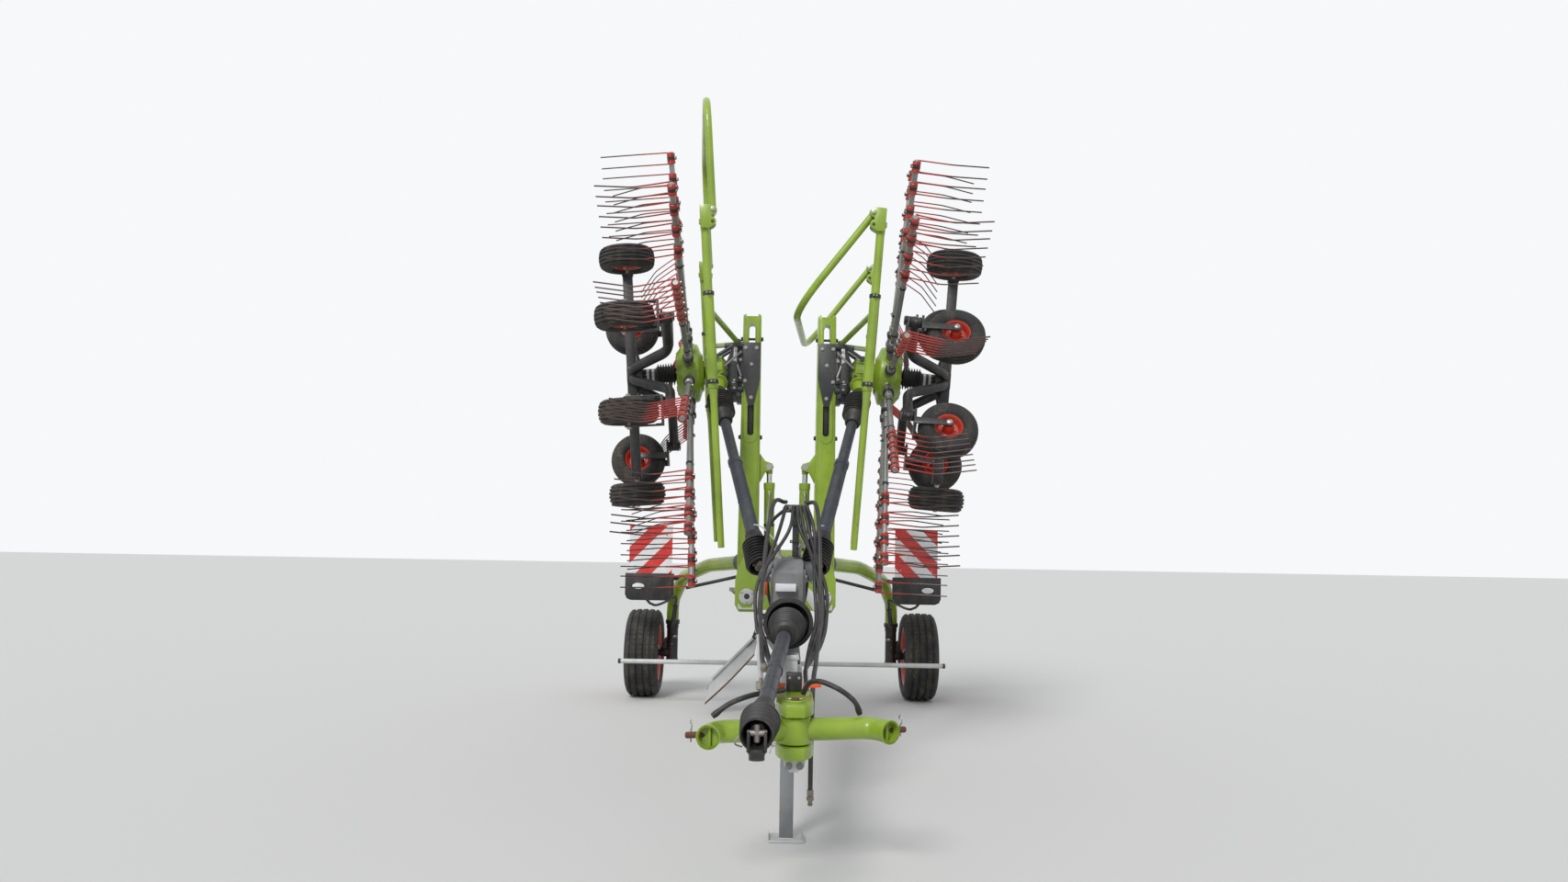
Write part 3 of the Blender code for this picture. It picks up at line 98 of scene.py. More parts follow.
# Finishes
finishParts = ("base", "tone", "dust", "chips", "rough", "metal", "grain", "coat")
finishes = {
    # base and second tone, then the shares of dust and chips, roughness, metal, grain in metres, coat
    "limePaint": ((0.265, 0.395, 0.018), (0.19, 0.295, 0.012), 0.14, 0.1, 0.34, 0.0, 0.00025, 0.35),
    "lightGreyPaint": ((0.56, 0.57, 0.56), (0.45, 0.46, 0.45), 0.18, 0.06, 0.45, 0.1, 0.0003, 0.1),
    "darkGreyPaint": ((0.034, 0.036, 0.041), (0.02, 0.021, 0.024), 0.12, 0.05, 0.42, 0.0, 0.0003, 0.15),
    "satinBlackPaint": ((0.014, 0.014, 0.016), (0.009, 0.009, 0.01), 0.11, 0.05, 0.45, 0.0, 0.0003, 0.1),
    "bootPlastic": ((0.009, 0.009, 0.01), (0.014, 0.014, 0.015), 0.09, 0.0, 0.5, 0.0, 0.0005, 0.0),
    "guardPlastic": ((0.034, 0.039, 0.052), (0.024, 0.028, 0.038), 0.1, 0.0, 0.42, 0.0, 0.0004, 0.0),
    "zincCoat": ((0.34, 0.34, 0.33), (0.2, 0.2, 0.19), 0.2, 0.08, 0.42, 0.75, 0.0004, 0.0),
    "coilPaint": ((0.5, 0.035, 0.018), (0.36, 0.022, 0.012), 0.1, 0.1, 0.4, 0.0, 0.0003, 0.2),
    "rimPaint": ((0.58, 0.04, 0.016), (0.42, 0.028, 0.012), 0.14, 0.05, 0.4, 0.0, 0.0003, 0.2),
    "tyreRubber": ((0.014, 0.014, 0.015), (0.024, 0.024, 0.023), 0.2, 0.0, 0.78, 0.0, 0.0008, 0.0),
    "hoseRubber": ((0.012, 0.012, 0.013), (0.02, 0.02, 0.021), 0.12, 0.0, 0.48, 0.0, 0.0003, 0.0),
    "castGrey": ((0.22, 0.23, 0.24), (0.14, 0.15, 0.155), 0.26, 0.06, 0.55, 0.25, 0.0009, 0.0),
    "rustySteel": ((0.14, 0.055, 0.026), (0.07, 0.03, 0.018), 0.1, 0.0, 0.78, 0.2, 0.001, 0.0),
    "boltZinc": ((0.46, 0.45, 0.41), (0.32, 0.31, 0.27), 0.12, 0.0, 0.34, 0.85, 0.0002, 0.0),
    "polishedRod": ((0.62, 0.62, 0.63), (0.55, 0.55, 0.56), 0.03, 0.0, 0.12, 1.0, 0.00008, 0.0),
    "bareSteel": ((0.3, 0.29, 0.27), (0.2, 0.15, 0.11), 0.16, 0.16, 0.46, 0.7, 0.0006, 0.0),
    "orangeSheet": ((0.8, 0.1, 0.02), (0.66, 0.08, 0.02), 0.08, 0.0, 0.45, 0.0, 0.0002, 0.2),
    "whiteLens": ((0.78, 0.79, 0.8), (0.66, 0.67, 0.68), 0.06, 0.0, 0.18, 0.0, 0.0002, 0.5),
    "redLens": ((0.5, 0.015, 0.012), (0.4, 0.012, 0.01), 0.06, 0.0, 0.18, 0.0, 0.0002, 0.5),
}
wear = {
    # colours of dust and chips, then how fine each noise is
    "dustTone": (0.3, 0.25, 0.18),
    "chipTone": (0.1, 0.055, 0.035),
    "cloud": 5.0,
    "fine": 55.0,
    "speck": 420.0,
    "streak": 14.0,
}


class Wiring:  # a short way to add and join a material's nodes
    def __init__(self, name):
        self.material = bpy.data.materials.new(name)
        self.material.use_nodes = True
        self.tree = self.material.node_tree
        self.shader = self.tree.nodes["Principled BSDF"]
        self.coords = self.add("ShaderNodeTexCoord").outputs["Object"]

    def add(self, kind, **settings):
        node = self.tree.nodes.new(kind)
        for key, value in settings.items():
            setattr(node, key, value)
        return node

    def join(self, source, target):
        self.tree.links.new(source, target)

    def noise(self, scale, detail=3.0, stretch=None):
        node = self.add("ShaderNodeTexNoise")
        node.inputs["Scale"].default_value = scale
        node.inputs["Detail"].default_value = detail
        node.inputs["Roughness"].default_value = 0.55
        if stretch:
            mapping = self.add("ShaderNodeMapping")
            mapping.inputs["Scale"].default_value = stretch
            self.join(self.coords, mapping.inputs["Vector"])
            self.join(mapping.outputs["Vector"], node.inputs["Vector"])
        else:
            self.join(self.coords, node.inputs["Vector"])
        return node.outputs["Fac"]

    def steps(self, value, low, high, start=0.0, end=1.0):
        node = self.add("ShaderNodeMapRange", clamp=True)
        node.inputs["From Min"].default_value = low
        node.inputs["From Max"].default_value = high
        node.inputs["To Min"].default_value = start
        node.inputs["To Max"].default_value = end
        self.join(value, node.inputs["Value"])
        return node.outputs["Result"]

    def maths(self, operation, first, second):
        node = self.add("ShaderNodeMath", operation=operation)
        for socket, value in zip(node.inputs, (first, second)):
            if isinstance(value, (int, float)):
                socket.default_value = value
            else:
                self.join(value, socket)
        return node.outputs["Value"]

    def blend(self, share, first, second):
        node = self.add("ShaderNodeMix", data_type="RGBA")
        for key, value in ((0, share), (6, first), (7, second)):
            if isinstance(value, tuple):
                node.inputs[key].default_value = (*value, 1)
            elif isinstance(value, (int, float)):
                node.inputs[key].default_value = value
            else:
                self.join(value, node.inputs[key])
        return node.outputs[2]

    def bump(self, height, depth, before=None):
        node = self.add("ShaderNodeBump")
        node.inputs["Strength"].default_value = 0.6
        node.inputs["Distance"].default_value = depth
        self.join(height, node.inputs["Height"])
        if before:
            self.join(before, node.inputs["Normal"])
        return node.outputs["Normal"]


def makeFinish(name, row, dress=None):  # dress makes the colour where two tones aren't enough
    look = dict(zip(finishParts, row))
    wiring = Wiring(name)
    cloud = wiring.noise(wear["cloud"], 4.0)
    fine = wiring.noise(wear["fine"], 3.0)
    speck = wiring.noise(wear["speck"], 2.0)
    streak = wiring.noise(wear["streak"], 3.0, stretch=(1.0, 1.0, 0.25))
    if dress:
        colour = dress(wiring)
    else:
        colour = wiring.blend(wiring.steps(cloud, 0.35, 0.68), look["base"], look["tone"])
    mottled = wiring.maths("MULTIPLY", wiring.steps(streak, 0.42, 0.75), wiring.steps(fine, 0.3, 0.75))
    dust = wiring.maths("MULTIPLY", mottled, look["dust"] * 2.2)
    if look["chips"]:
        chips = wiring.steps(fine, 0.735 - look["chips"] * 0.25, 0.76 - look["chips"] * 0.25)
        colour = wiring.blend(chips, colour, wear["chipTone"])
    colour = wiring.blend(dust, colour, wear["dustTone"])
    wiring.join(colour, wiring.shader.inputs["Base Color"])
    uneven = wiring.steps(cloud, 0.3, 0.7, look["rough"] * 0.85, look["rough"] * 1.15)
    dusty = wiring.maths("MULTIPLY", dust, 0.6)
    wiring.join(wiring.maths("ADD", uneven, dusty), wiring.shader.inputs["Roughness"])
    wiring.shader.inputs["Metallic"].default_value = look["metal"]
    wiring.shader.inputs["Coat Weight"].default_value = look["coat"]
    wiring.shader.inputs["Coat Roughness"].default_value = 0.15
    grain = wiring.bump(speck, look["grain"])
    worn = wiring.bump(fine, look["grain"] * 2.5, grain)
    wiring.join(worn, wiring.shader.inputs["Normal"])
    return wiring.material


paints = {name: makeFinish(name, row) for name, row in finishes.items()}

# Fingers: dark tips, dark red near the coils, told by an attribute along each wire.
fingerLook = (None, None, 0.1, 0.0, 0.42, 0.2, 0.0003, 0.1)


def fingerDress(wiring):
    along = wiring.add("ShaderNodeAttribute", attribute_name="along").outputs["Fac"]
    red = wiring.blend(wiring.noise(30.0), (0.44, 0.026, 0.016), (0.28, 0.018, 0.012))
    dark = wiring.blend(wiring.noise(20.0), (0.03, 0.022, 0.022), (0.075, 0.022, 0.018))
    return wiring.blend(wiring.steps(along, 0.3, 0.6), red, dark)


paints["fingerWire"] = makeFinish("fingerWire", fingerLook, dress=fingerDress)

# Warning stripes: red and white bands at 45 degrees, mirrored from side to side.
stripeLook = {
    "left": dict(slope=1.0, start=0.047),
    "right": dict(slope=-1.0, start=-0.047),
    "pitch": 0.28,
    "red": (0.62, 0.018, 0.016),
    "white": (0.74, 0.75, 0.76),
}
sheetLook = (None, None, 0.14, 0.0, 0.32, 0.0, 0.00015, 0.2)


def stripeDress(word):
    def dress(wiring):
        parts = wiring.add("ShaderNodeSeparateXYZ")
        wiring.join(wiring.coords, parts.inputs["Vector"])
        look = stripeLook[word]
        slanted = wiring.maths("MULTIPLY", parts.outputs["X"], look["slope"])
        across = wiring.maths("SUBTRACT", slanted, parts.outputs["Z"])
        share = wiring.maths("DIVIDE", wiring.maths("ADD", across, look["start"] + 10), stripeLook["pitch"])
        band = wiring.steps(wiring.maths("PINGPONG", share, 0.5), 0.246, 0.254)
        return wiring.blend(band, stripeLook["white"], stripeLook["red"])
    return dress


for word in sides:
    paints["stripes_" + word] = makeFinish("stripes_" + word, sheetLook, dress=stripeDress(word))
print("finishes made:", len(paints))


# Small tools for shaping pieces
def lineFrame(start, end):
    start = Vector(start)
    way = Vector(end) - start
    turn = Vector((0, 0, 1)).rotation_difference(way).to_matrix().to_4x4()
    return Matrix.Translation(start) @ turn, way.length


def tube(points, radius, segments=16, along=False):  # a circle extruded along a line
    points = [Vector(p) for p in points]
    bm = bmesh.new()
    layer = bm.verts.layers.float.new("along") if along else None
    bmesh.ops.create_circle(bm, cap_ends=True, segments=segments, radius=1.0)
    cap = bm.faces[:][0]
    way = (points[1] - points[0]).normalized()
    turn = Vector((0, 0, 1)).rotation_difference(way).to_matrix().to_4x4()
    place = Matrix.Translation(points[0]) @ turn @ Matrix.Diagonal((radius, radius, radius, 1))
    bmesh.ops.transform(bm, matrix=place, verts=bm.verts)
    for number in range(1, len(points)):
        grown = bmesh.ops.extrude_face_region(bm, geom=[cap])["geom"]
        ring = [v for v in grown if isinstance(v, bmesh.types.BMVert)]
        cap = [f for f in grown if isinstance(f, bmesh.types.BMFace)][0]
        before = points[number] - points[number - 1]
        after = points[min(number + 1, len(points) - 1)] - points[number]
        aim = before.normalized() + after.normalized() if after.length else before.normalized()
        bend = way.rotation_difference(aim.normalized()).to_matrix().to_4x4()
        step = Matrix.Translation(points[number]) @ bend @ Matrix.Translation(-points[number - 1])
        bmesh.ops.transform(bm, matrix=step, verts=ring)
        way = aim.normalized()
        if along:
            for vert in ring:
                vert[layer] = number / (len(points) - 1)
    return bm


def turned(rows, start, end, segments=32, hollow=False):  # (along in metres, radius) rows spun round a line
    place, _ = lineFrame(start, end)
    bm = bmesh.new()
    verts = [bm.verts.new((radius, 0, along)) for along, radius in rows]
    if not hollow:
        verts.insert(0, bm.verts.new((0, 0, rows[0][0])))
        verts.append(bm.verts.new((0, 0, rows[-1][0])))
    edges = [bm.edges.new(pair) for pair in zip(verts, verts[1:])]
    if hollow:
        edges.append(bm.edges.new((verts[-1], verts[0])))
    bmesh.ops.spin(
        bm, geom=verts + edges, axis=upward, cent=origin, angle=tau, steps=segments, use_merge=True)
    bmesh.ops.remove_doubles(bm, verts=bm.verts, dist=1e-5)
    bm.transform(place)
    return bm


def rod(start, end, radius, segments=20, bevel=None):  # a round bar with softened ends
    _, length = lineFrame(start, end)
    soft = min(radius * 0.2, length * 0.2) if bevel is None else bevel
    rows = [(0, radius - soft), (soft, radius), (length - soft, radius), (length, radius - soft)]
    return turned(rows, start, end, segments)


def softened(bm, reach):
    bmesh.ops.bevel(
        bm, geom=bm.edges[:], offset=reach, offset_type="OFFSET", affect="EDGES", segments=2, profile=0.5,
        material=-1, clamp_overlap=True)


def boxed(centre, size, bevel=0.004, turn=None):
    bm = bmesh.new()
    bmesh.ops.create_cube(bm, size=1.0, matrix=Matrix.Diagonal((*size, 1)))
    if bevel:
        softened(bm, bevel)
    bm.transform(Matrix.Translation(centre) @ (turn or Matrix.Identity(4)))
    return bm


# an outline drawn out along the axis that flat leaves out
def plated(outline, first, last, flat, bevel=0.003):
    low, high = min(first, last), max(first, last)

    def place(a, b, c):
        return {"xz": (a, c, b), "xy": (a, b, c), "yz": (c, a, b)}[flat]

    bm = bmesh.new()
    face = bm.faces.new([bm.verts.new(place(a, b, low)) for a, b in outline])
    grown = bmesh.ops.extrude_face_region(bm, geom=[face])["geom"]
    lifted = [v for v in grown if isinstance(v, bmesh.types.BMVert)]
    bmesh.ops.translate(bm, verts=lifted, vec=Vector(place(0, 0, high - low)))
    if bevel:
        softened(bm, bevel)
    return bm


def mirroredRows(rows):  # the same (along, radius) rows again on the other side of the middle
    return rows + [(-along, radius) for along, radius in reversed(rows)]


def ringRows(half, bore, radius, soft=0.002):  # a short ring with softened edges, open in the middle
    return mirroredRows([(-half, bore), (-half, radius - soft), (-half + soft, radius)])


def ovalLine(x, z, wide, tall, count=28):
    return [(x + cos(tau * n / count) * wide, z + sin(tau * n / count) * tall) for n in range(count)]


def around(count, start=0.0):  # angles spread evenly round a circle
    return [tau * number / count + start for number in range(count)]


def joined(whole, shape):  # adds a shape to a gathered one and frees it
    keeper = bpy.data.meshes.new("keeper")
    shape.to_mesh(keeper)
    shape.free()
    whole.from_mesh(keeper)
    bpy.data.meshes.remove(keeper)


def rounded(points, reach, steps=6):  # the same line with its inner corners rounded off
    points = [Vector(p) for p in points]
    line = [points[0]]
    for before, corner, after in zip(points, points[1:], points[2:]):
        first = corner + (before - corner).normalized() * reach
        last = corner + (after - corner).normalized() * reach
        for step in range(steps + 1):
            share = step / steps
            line.append(first.lerp(corner, share).lerp(corner.lerp(last, share), share))
    line.append(points[-1])
    return line


def smoothLine(points, step):  # points a step apart on a curve through all the given ones
    points = [Vector(p) for p in points]
    padded = [points[0] * 2 - points[1], *points, points[-1] * 2 - points[-2]]
    line = []
    for a, b, c, d in zip(padded, padded[1:], padded[2:], padded[3:]):
        count = max(2, round((c - b).length / step))
        for number in range(count):
            t = number / count
            second = (a * 2 - b * 5 + c * 4 - d) * t * t
            third = (b * 3 - a - c * 3 + d) * t ** 3
            line.append((b * 2 + (c - a) * t + second + third) / 2)
    line.append(points[-1])
    return line


class Piece:  # gathers shapes, each with its finish, into one object that rides on a body
    def __init__(self, name, body, slot, side=1):
        self.name, self.body, self.slot = name, body, slot
        self.mirror = mirrorPlace(side)
        self.whole = bmesh.new()
        self.paints = []

    def put(self, shape, paint, place=None):
        if paint not in self.paints:
            self.paints.append(paint)
        number = self.paints.index(paint)
        for face in shape.faces:
            face.material_index = number
        if place is not None:
            shape.transform(place)
        shape.transform(self.mirror)
        bmesh.ops.recalc_face_normals(shape, faces=shape.faces)
        joined(self.whole, shape)

    def spun(self, rows, start, way, segments, paint, place=None, hollow=False):  # rows turned round a line
        start = Vector(start)
        self.put(turned(rows, start, start + Vector(way), segments, hollow), paint, place)

    # the same between two points
    def toward(self, rows, start, end, segments, paint, place=None, hollow=False):
        self.put(turned(rows, start, end, segments, hollow), paint, place)

    def bar(self, start, end, radius, segments, paint, place=None):
        self.put(rod(start, end, radius, segments), paint, place)

    def pipe(self, line, radius, segments, paint, place=None):
        self.put(tube(line, radius, segments), paint, place)

    def block(self, centre, size, bevel, paint, place=None):
        self.put(boxed(centre, size, bevel), paint, place)

    def plate(self, outline, first, last, flat, bevel, paint, place=None):
        self.put(plated(outline, first, last, flat, bevel), paint, place)

    def bolts(self, places, way, size):  # hexagon heads on washers
        for place in places:
            start = Vector(place)
            out = Vector(way).normalized()
            self.spun([(0, size * 1.15), (size * 0.25, size * 1.15)], start, out, 14, "boltZinc")
            self.spun(
                [(size * 0.25, size), (size * 0.8, size), (size, size * 0.8)], start, out, 6, "boltZinc")

    def finish(self, *replaced):
        mesh = bpy.data.meshes.new(self.name)
        self.whole.to_mesh(mesh)
        self.whole.free()
        for paint in self.paints:
            mesh.materials.append(paints[paint])
        mesh.shade_smooth()
        mesh.set_sharp_from_angle(angle=radians(38))
        made = bpy.data.objects.new(self.name, mesh)
        bpy.context.scene.collection.objects.link(made)
        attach(made, self.body)
        if replaced:
            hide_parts(*replaced)
        return made


# Cords: hoses and cables that hang free
cords = {
    "hose_left": dict(
        rows=[
            (-0.02, 1.6, 1.735), (-0.1, 1.3, 1.7), (-0.15, 0.95, 1.25), (-0.14, 0.6, 0.98),
            (-0.125, 0.3, 0.93)],
        diameter=0.024, stiffness="medium", lay="hanging"),
    "hose_right": dict(
        rows=[
            (0.1, 1.6, 1.735), (0.16, 1.35, 1.68), (0.17, 1.05, 1.2), (0.14, 0.7, 0.93),
            (0.122, 0.54, 0.86), (0.113, 0.45, 0.76), (0.11, 0.42, 0.62), (0.108, 0.41, 0.46),
            (0.108, 0.405, 0.31)],
        diameter=0.024, stiffness="medium", lay="hanging"),
    "cable_left": dict(
        rows=[
            (-0.03, 0.22, 0.84), (-0.09, 0.1, 0.848), (-0.18, -0.02, 0.85), (-0.27, -0.06, 0.82),
            (-0.335, -0.08, 0.775)],
        diameter=0.024, stiffness="medium", lay="loose"),
    "cable_right": dict(
        rows=[
            (0.06, 0.16, 0.835), (0.085, 0.11, 0.89), (0.14, 0.05, 0.905), (0.23, 0.02, 0.87),
            (0.29, 0.03, 0.82), (0.31, 0.05, 0.775)],
        diameter=0.024, stiffness="medium", lay="loose"),
}
cordLines = {name: smoothLine([spot(*row) for row in look["rows"]], 0.055) for name, look in cords.items()}


def lineLength(line):
    return sum((b - a).length for a, b in zip(line, line[1:]))


def hoseCurve(name, line, diameter):
    curve = bpy.data.curves.new(name, "CURVE")
    curve.dimensions = "3D"
    curve.bevel_depth = diameter / 2
    curve.bevel_resolution = 5
    curve.use_fill_caps = True
    curve.resolution_u = 5
    spline = curve.splines.new("BEZIER")
    spline.bezier_points.add(len(line) - 1)
    for target, point in zip(spline.bezier_points, line):
        target.co = point
        target.handle_left_type = target.handle_right_type = "AUTO"
    curve.materials.append(paints["hoseRubber"])
    made = bpy.data.objects.new(name + "_run", curve)
    bpy.context.scene.collection.objects.link(made)
    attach(made, "frame")
    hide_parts(name)
    return made


def coupling(name, line, radius):  # a quick coupling's plug in its dust cap, on the hose's end
    end = line[-1]
    way = (line[-1] - line[-2]).normalized()
    rows = [
        (-0.03, radius * 1.05), (-0.028, radius * 1.35), (-0.004, radius * 1.35), (0, radius * 1.1),
        (0.004, radius * 1.5), (0.02, radius * 1.5), (0.022, radius * 0.9), (0.034, radius * 0.9),
        (0.036, radius * 1.1), (0.046, radius * 0.9)]
    piece = Piece(name, "frame", "hose")
    piece.spun(rows, end, way, 24, "bareSteel")
    return piece.finish()


for name, look in cords.items():
    line = cordLines[name]
    made = hoseCurve(name, line, look["diameter"])
    small = name.startswith("cable")
    if small:
        end, way = line[-1], (line[-1] - line[-2]).normalized()
        boot = Piece(name + "_plug", "frame", "hose")
        boot.spun(
            [(-0.03, 0.0125), (-0.02, 0.014), (0.0, 0.015), (0.004, 0.013), (0.012, 0.013), (0.014, 0.01)],
            end, way, 20, "bootPlastic")
        plug = boot.finish()
    else:
        plug = coupling(name + "_coupling", line, look["diameter"] / 2)
    print("cord", name, round(lineLength(line), 3))

# Transport wheels: block tread on a red dished rim
transportWheel = {
    "tyreRows": mirroredRows([
        # along from the middle, radius
        (-0.118, 0.262), (-0.14, 0.27), (-0.15, 0.3), (-0.149, 0.33), (-0.138, 0.36), (-0.122, 0.376),
        (-0.098, 0.38), (-0.092, 0.372), (-0.084, 0.372), (-0.078, 0.382), (-0.04, 0.384),
        (-0.034, 0.374), (-0.026, 0.374), (-0.02, 0.385),
    ]) + [(0.1, 0.258), (-0.1, 0.258)],
    "rimRows": [
        *mirroredRows([
            (-0.128, 0.262), (-0.13, 0.272), (-0.122, 0.276), (-0.114, 0.256), (-0.085, 0.246),
            (-0.06, 0.232), (-0.02, 0.228),
        ]),
        (0.116, 0.246), (0.088, 0.236), (0.06, 0.222), (0.052, 0.2), (0.036, 0.15), (0.04, 0.11),
        (0.026, 0.085), (0.016, 0.085), (0.02, 0.11), (0.018, 0.15), (0.03, 0.205), (0.02, 0.219),
        (-0.06, 0.222), (-0.088, 0.236), (-0.116, 0.246),
    ],
    "hubRows": [
        (-0.125, 0.04), (-0.125, 0.066), (-0.112, 0.072), (0.01, 0.072), (0.016, 0.088), (0.026, 0.088),
        (0.032, 0.058), (0.078, 0.054), (0.092, 0.04), (0.094, 0.01),
    ],
    "bolts": 6,
    "boltCircle": 0.072,
    "blockSteps": 54,
    "blocks": {"inset": 0.0035, "rise": 0.005, "fromRadius": 0.3745, "halfWidth": 0.13},
}


def treadBlocks(bm, inset, rise, fromRadius, halfWidth):  # lands of the crown drawn out into blocks
    lands = []
    for face in bm.faces:
        middle = face.calc_center_median()
        if abs(middle.z) < halfWidth and Vector((middle.x, middle.y, 0)).length > fromRadius:
            outward = Vector((middle.x, middle.y, 0)).normalized()
            if abs(face.normal.dot(outward)) > 0.9:
                lands.append(face)
    bmesh.ops.inset_individual(bm, faces=lands, thickness=inset, depth=0.0, use_even_offset=True)
    for face in lands:
        for vert in face.verts:
            flat = Vector((vert.co.x, vert.co.y, 0))
            vert.co += flat.normalized() * rise


def makeTransportWheel(word, side):
    look = transportWheel
    centre = Vector((1.25, axleY, 0.39))
    piece = Piece("transportWheel_" + word, "transport_wheel_" + word, "tyre", side)
    lie = Matrix.Translation(centre) @ Matrix.Rotation(pi / 2, 4, "Y")
    tyre = turned(look["tyreRows"], origin, upward, look["blockSteps"], hollow=True)
    bmesh.ops.recalc_face_normals(tyre, faces=tyre.faces)
    treadBlocks(tyre, **look["blocks"])
    piece.put(tyre, "tyreRubber", lie)
    piece.spun(look["rimRows"], origin, upward, 48, "rimPaint", lie, hollow=True)
    piece.spun(look["hubRows"], origin, upward, 32, "satinBlackPaint", lie)
    for turn in around(look["bolts"]):
        place = centre + Vector((0.026, cos(turn) * look["boltCircle"], sin(turn) * look["boltCircle"]))
        piece.bolts([place], outboard, 0.011)
    piece.bar(
        (centre.x + 0.1, centre.y + 0.19, centre.z), (centre.x + 0.135, centre.y + 0.2, centre.z), 0.005,
        10, "satinBlackPaint")
    return piece.finish("transport_wheel_" + word)


for word, side in sides.items():
    makeTransportWheel(word, side)

# Rake wheels: ribbed tyres on small red rims
rakeWheel = {
    "tyreRows": mirroredRows(
        [
            (-0.048, 0.092), (-0.066, 0.098), (-0.08, 0.118), (-0.083, 0.142), (-0.078, 0.168),
            (-0.066, 0.186), (-0.058, 0.192), (-0.056, 0.186), (-0.05, 0.186), (-0.047, 0.197),
            (-0.033, 0.2), (-0.03, 0.193), (-0.024, 0.193), (-0.021, 0.202), (-0.006, 0.2035),
            (-0.003, 0.196)]),
    "rimRows": [
        *mirroredRows(
            [(-0.06, 0.094), (-0.064, 0.104), (-0.058, 0.108), (-0.052, 0.094), (-0.036, 0.084)]),
        *mirroredRows([(0.04, 0.078), (0.01, 0.07), (0.008, 0.04)]),
    ],
    "hubRows": mirroredRows(
        [(-0.07, 0.0155), (-0.07, 0.028), (-0.06, 0.034), (-0.012, 0.04), (-0.009, 0.052)]),
    "drop": 0.424,
    "fixed": 0.86,
}
castorPlaces = [
    # letter, y, z, rest turn left, rest turn right
    ("b", -0.54, 0.32, 0, 60), ("c", -0.54, -0.32, 0, 60), ("d", 0.4, -0.5, 75, 75),
    ("f", 0.4, 0.5, 75, 75),
]


def makeRakeWheel(name, centre, axle):
    piece = Piece("rakeWheel_" + name, "rake_wheel_" + name, "tyre")
    place, _ = lineFrame(centre, centre + axle)
    piece.spun(rakeWheel["tyreRows"], origin, upward, 44, "tyreRubber", place, hollow=True)
    piece.spun(rakeWheel["rimRows"], origin, upward, 36, "rimPaint", place, hollow=True)
    piece.spun(rakeWheel["hubRows"], origin, upward, 24, "rimPaint", place, hollow=True)
    for turn in around(5):
        for way in (-1, 1):
            start = Vector((cos(turn) * 0.046, sin(turn) * 0.046, way * 0.009))
            piece.spun(
                [(0, 0.007), (0.006, 0.007), (0.008, 0.005)], start, (0, 0, way), 6, "boltZinc", place)
    return piece.finish("rake_wheel_" + name)


castor = {
    "trail": 0.1,
    "crownStart": 0.1915,
    "crownThick": 0.018,
    "half": 0.104,
    "legWidth": 0.05,
    "legEnd": 0.455,
    "legThick": 0.012,
    "pin": 0.0135,
    "sleeve": (0.115, 0.19),
}


def makeCastor(word, side, letter, y, z, degreesTurned):
    name = f"{word}_{letter}"
    place = rotorPlace(side)
    pivot = Vector((0, y, z))
    angle = radians(degreesTurned)
    back = Vector((0, -cos(angle), -sin(angle)))
    axle = Vector((0, -back.z, back.y))
    square = Matrix((Vector((1, 0, 0)), back, axle)).transposed().to_4x4()
    local = place @ Matrix.Translation(pivot) @ square
    look = castor
    start, half, trail = look["crownStart"], look["half"], look["trail"]
    piece = Piece("castorFork_" + name, "castor_" + name, "dark_frame")
    crown = [
        (-0.045, 0.03), (-0.03, 0.045), (0.06, 0.045), (0.08, half - 0.004), (0.125, half - 0.004),
        (0.125, -half + 0.004), (0.08, -half + 0.004), (0.06, -0.045), (-0.03, -0.045), (-0.045, -0.03)]
    piece.plate(crown, start, start + look["crownThick"], "yz", 0.003, "darkGreyPaint", local)
    for way in (-1, 1):
        outer, inner = way * half, way * (half - look["legThick"])
        near, far = trail - look["legWidth"] / 2, trail + look["legWidth"] / 2
        leg = [
            (start, near), (look["legEnd"] - 0.012, near + 0.004), (look["legEnd"], near + 0.016),
            (look["legEnd"], far - 0.016), (look["legEnd"] - 0.012, far - 0.004), (start, far)]
        piece.plate(leg, outer, inner, "xy", 0.002, "darkGreyPaint", local)
        gusset = [
            (start + 0.015, near), (start + 0.055, near + 0.02), (start + 0.055, far - 0.02),
            (start + 0.015, far)]
        piece.plate(
            gusset, way * (half - 0.014) - 0.003, way * (half - 0.014) + 0.003, "xy", 0.001,
            "darkGreyPaint", local)
    hub = Vector((rakeWheel["drop"], trail, 0))
    piece.bar(
        hub - Vector((0, 0, half + 0.01)), hub + Vector((0, 0, half + 0.01)), look["pin"], 20, "boltZinc",
        local)
    for way in (-1, 1):
        nut = hub + Vector((0, 0, way * half))
        piece.spun(
            [(0, 0.022), (0.003, 0.022), (0.0032, 0.019), (0.013, 0.019), (0.015, 0.015)], nut, (0, 0, way),
            6, "boltZinc", local)
    low, high = look["sleeve"]
    piece.toward([(0, 0.02), (0.091, 0.02)], (low - 0.0135, 0, 0), (high, 0, 0), 20, "bareSteel", local)
    piece.toward(
        [(0, 0.018), (0.003, 0.034), (0.01, 0.038), (0.012, 0.038)], (low - 0.0135, 0, 0), (high, 0, 0), 24,
        "darkGreyPaint", local)
    piece.finish("castor_" + name)
    centre = place @ (pivot + Vector((rakeWheel["drop"], 0, 0)) + back * trail)
    makeRakeWheel(name, centre, place.to_3x3() @ axle)


for word, side in sides.items():
    place = rotorPlace(side)
    for letter, z in (("a", rakeWheel["fixed"]), ("e", -rakeWheel["fixed"])):
        makeRakeWheel(
            f"{word}_{letter}", place @ Vector((rakeWheel["drop"], 0, z)),
            place.to_3x3() @ Vector((0, 0, 1)))
    for letter, y, z, turnLeft, turnRight in castorPlaces:
        makeCastor(word, side, letter, y, z, turnRight if side > 0 else turnLeft)
print("wheels and castors made")

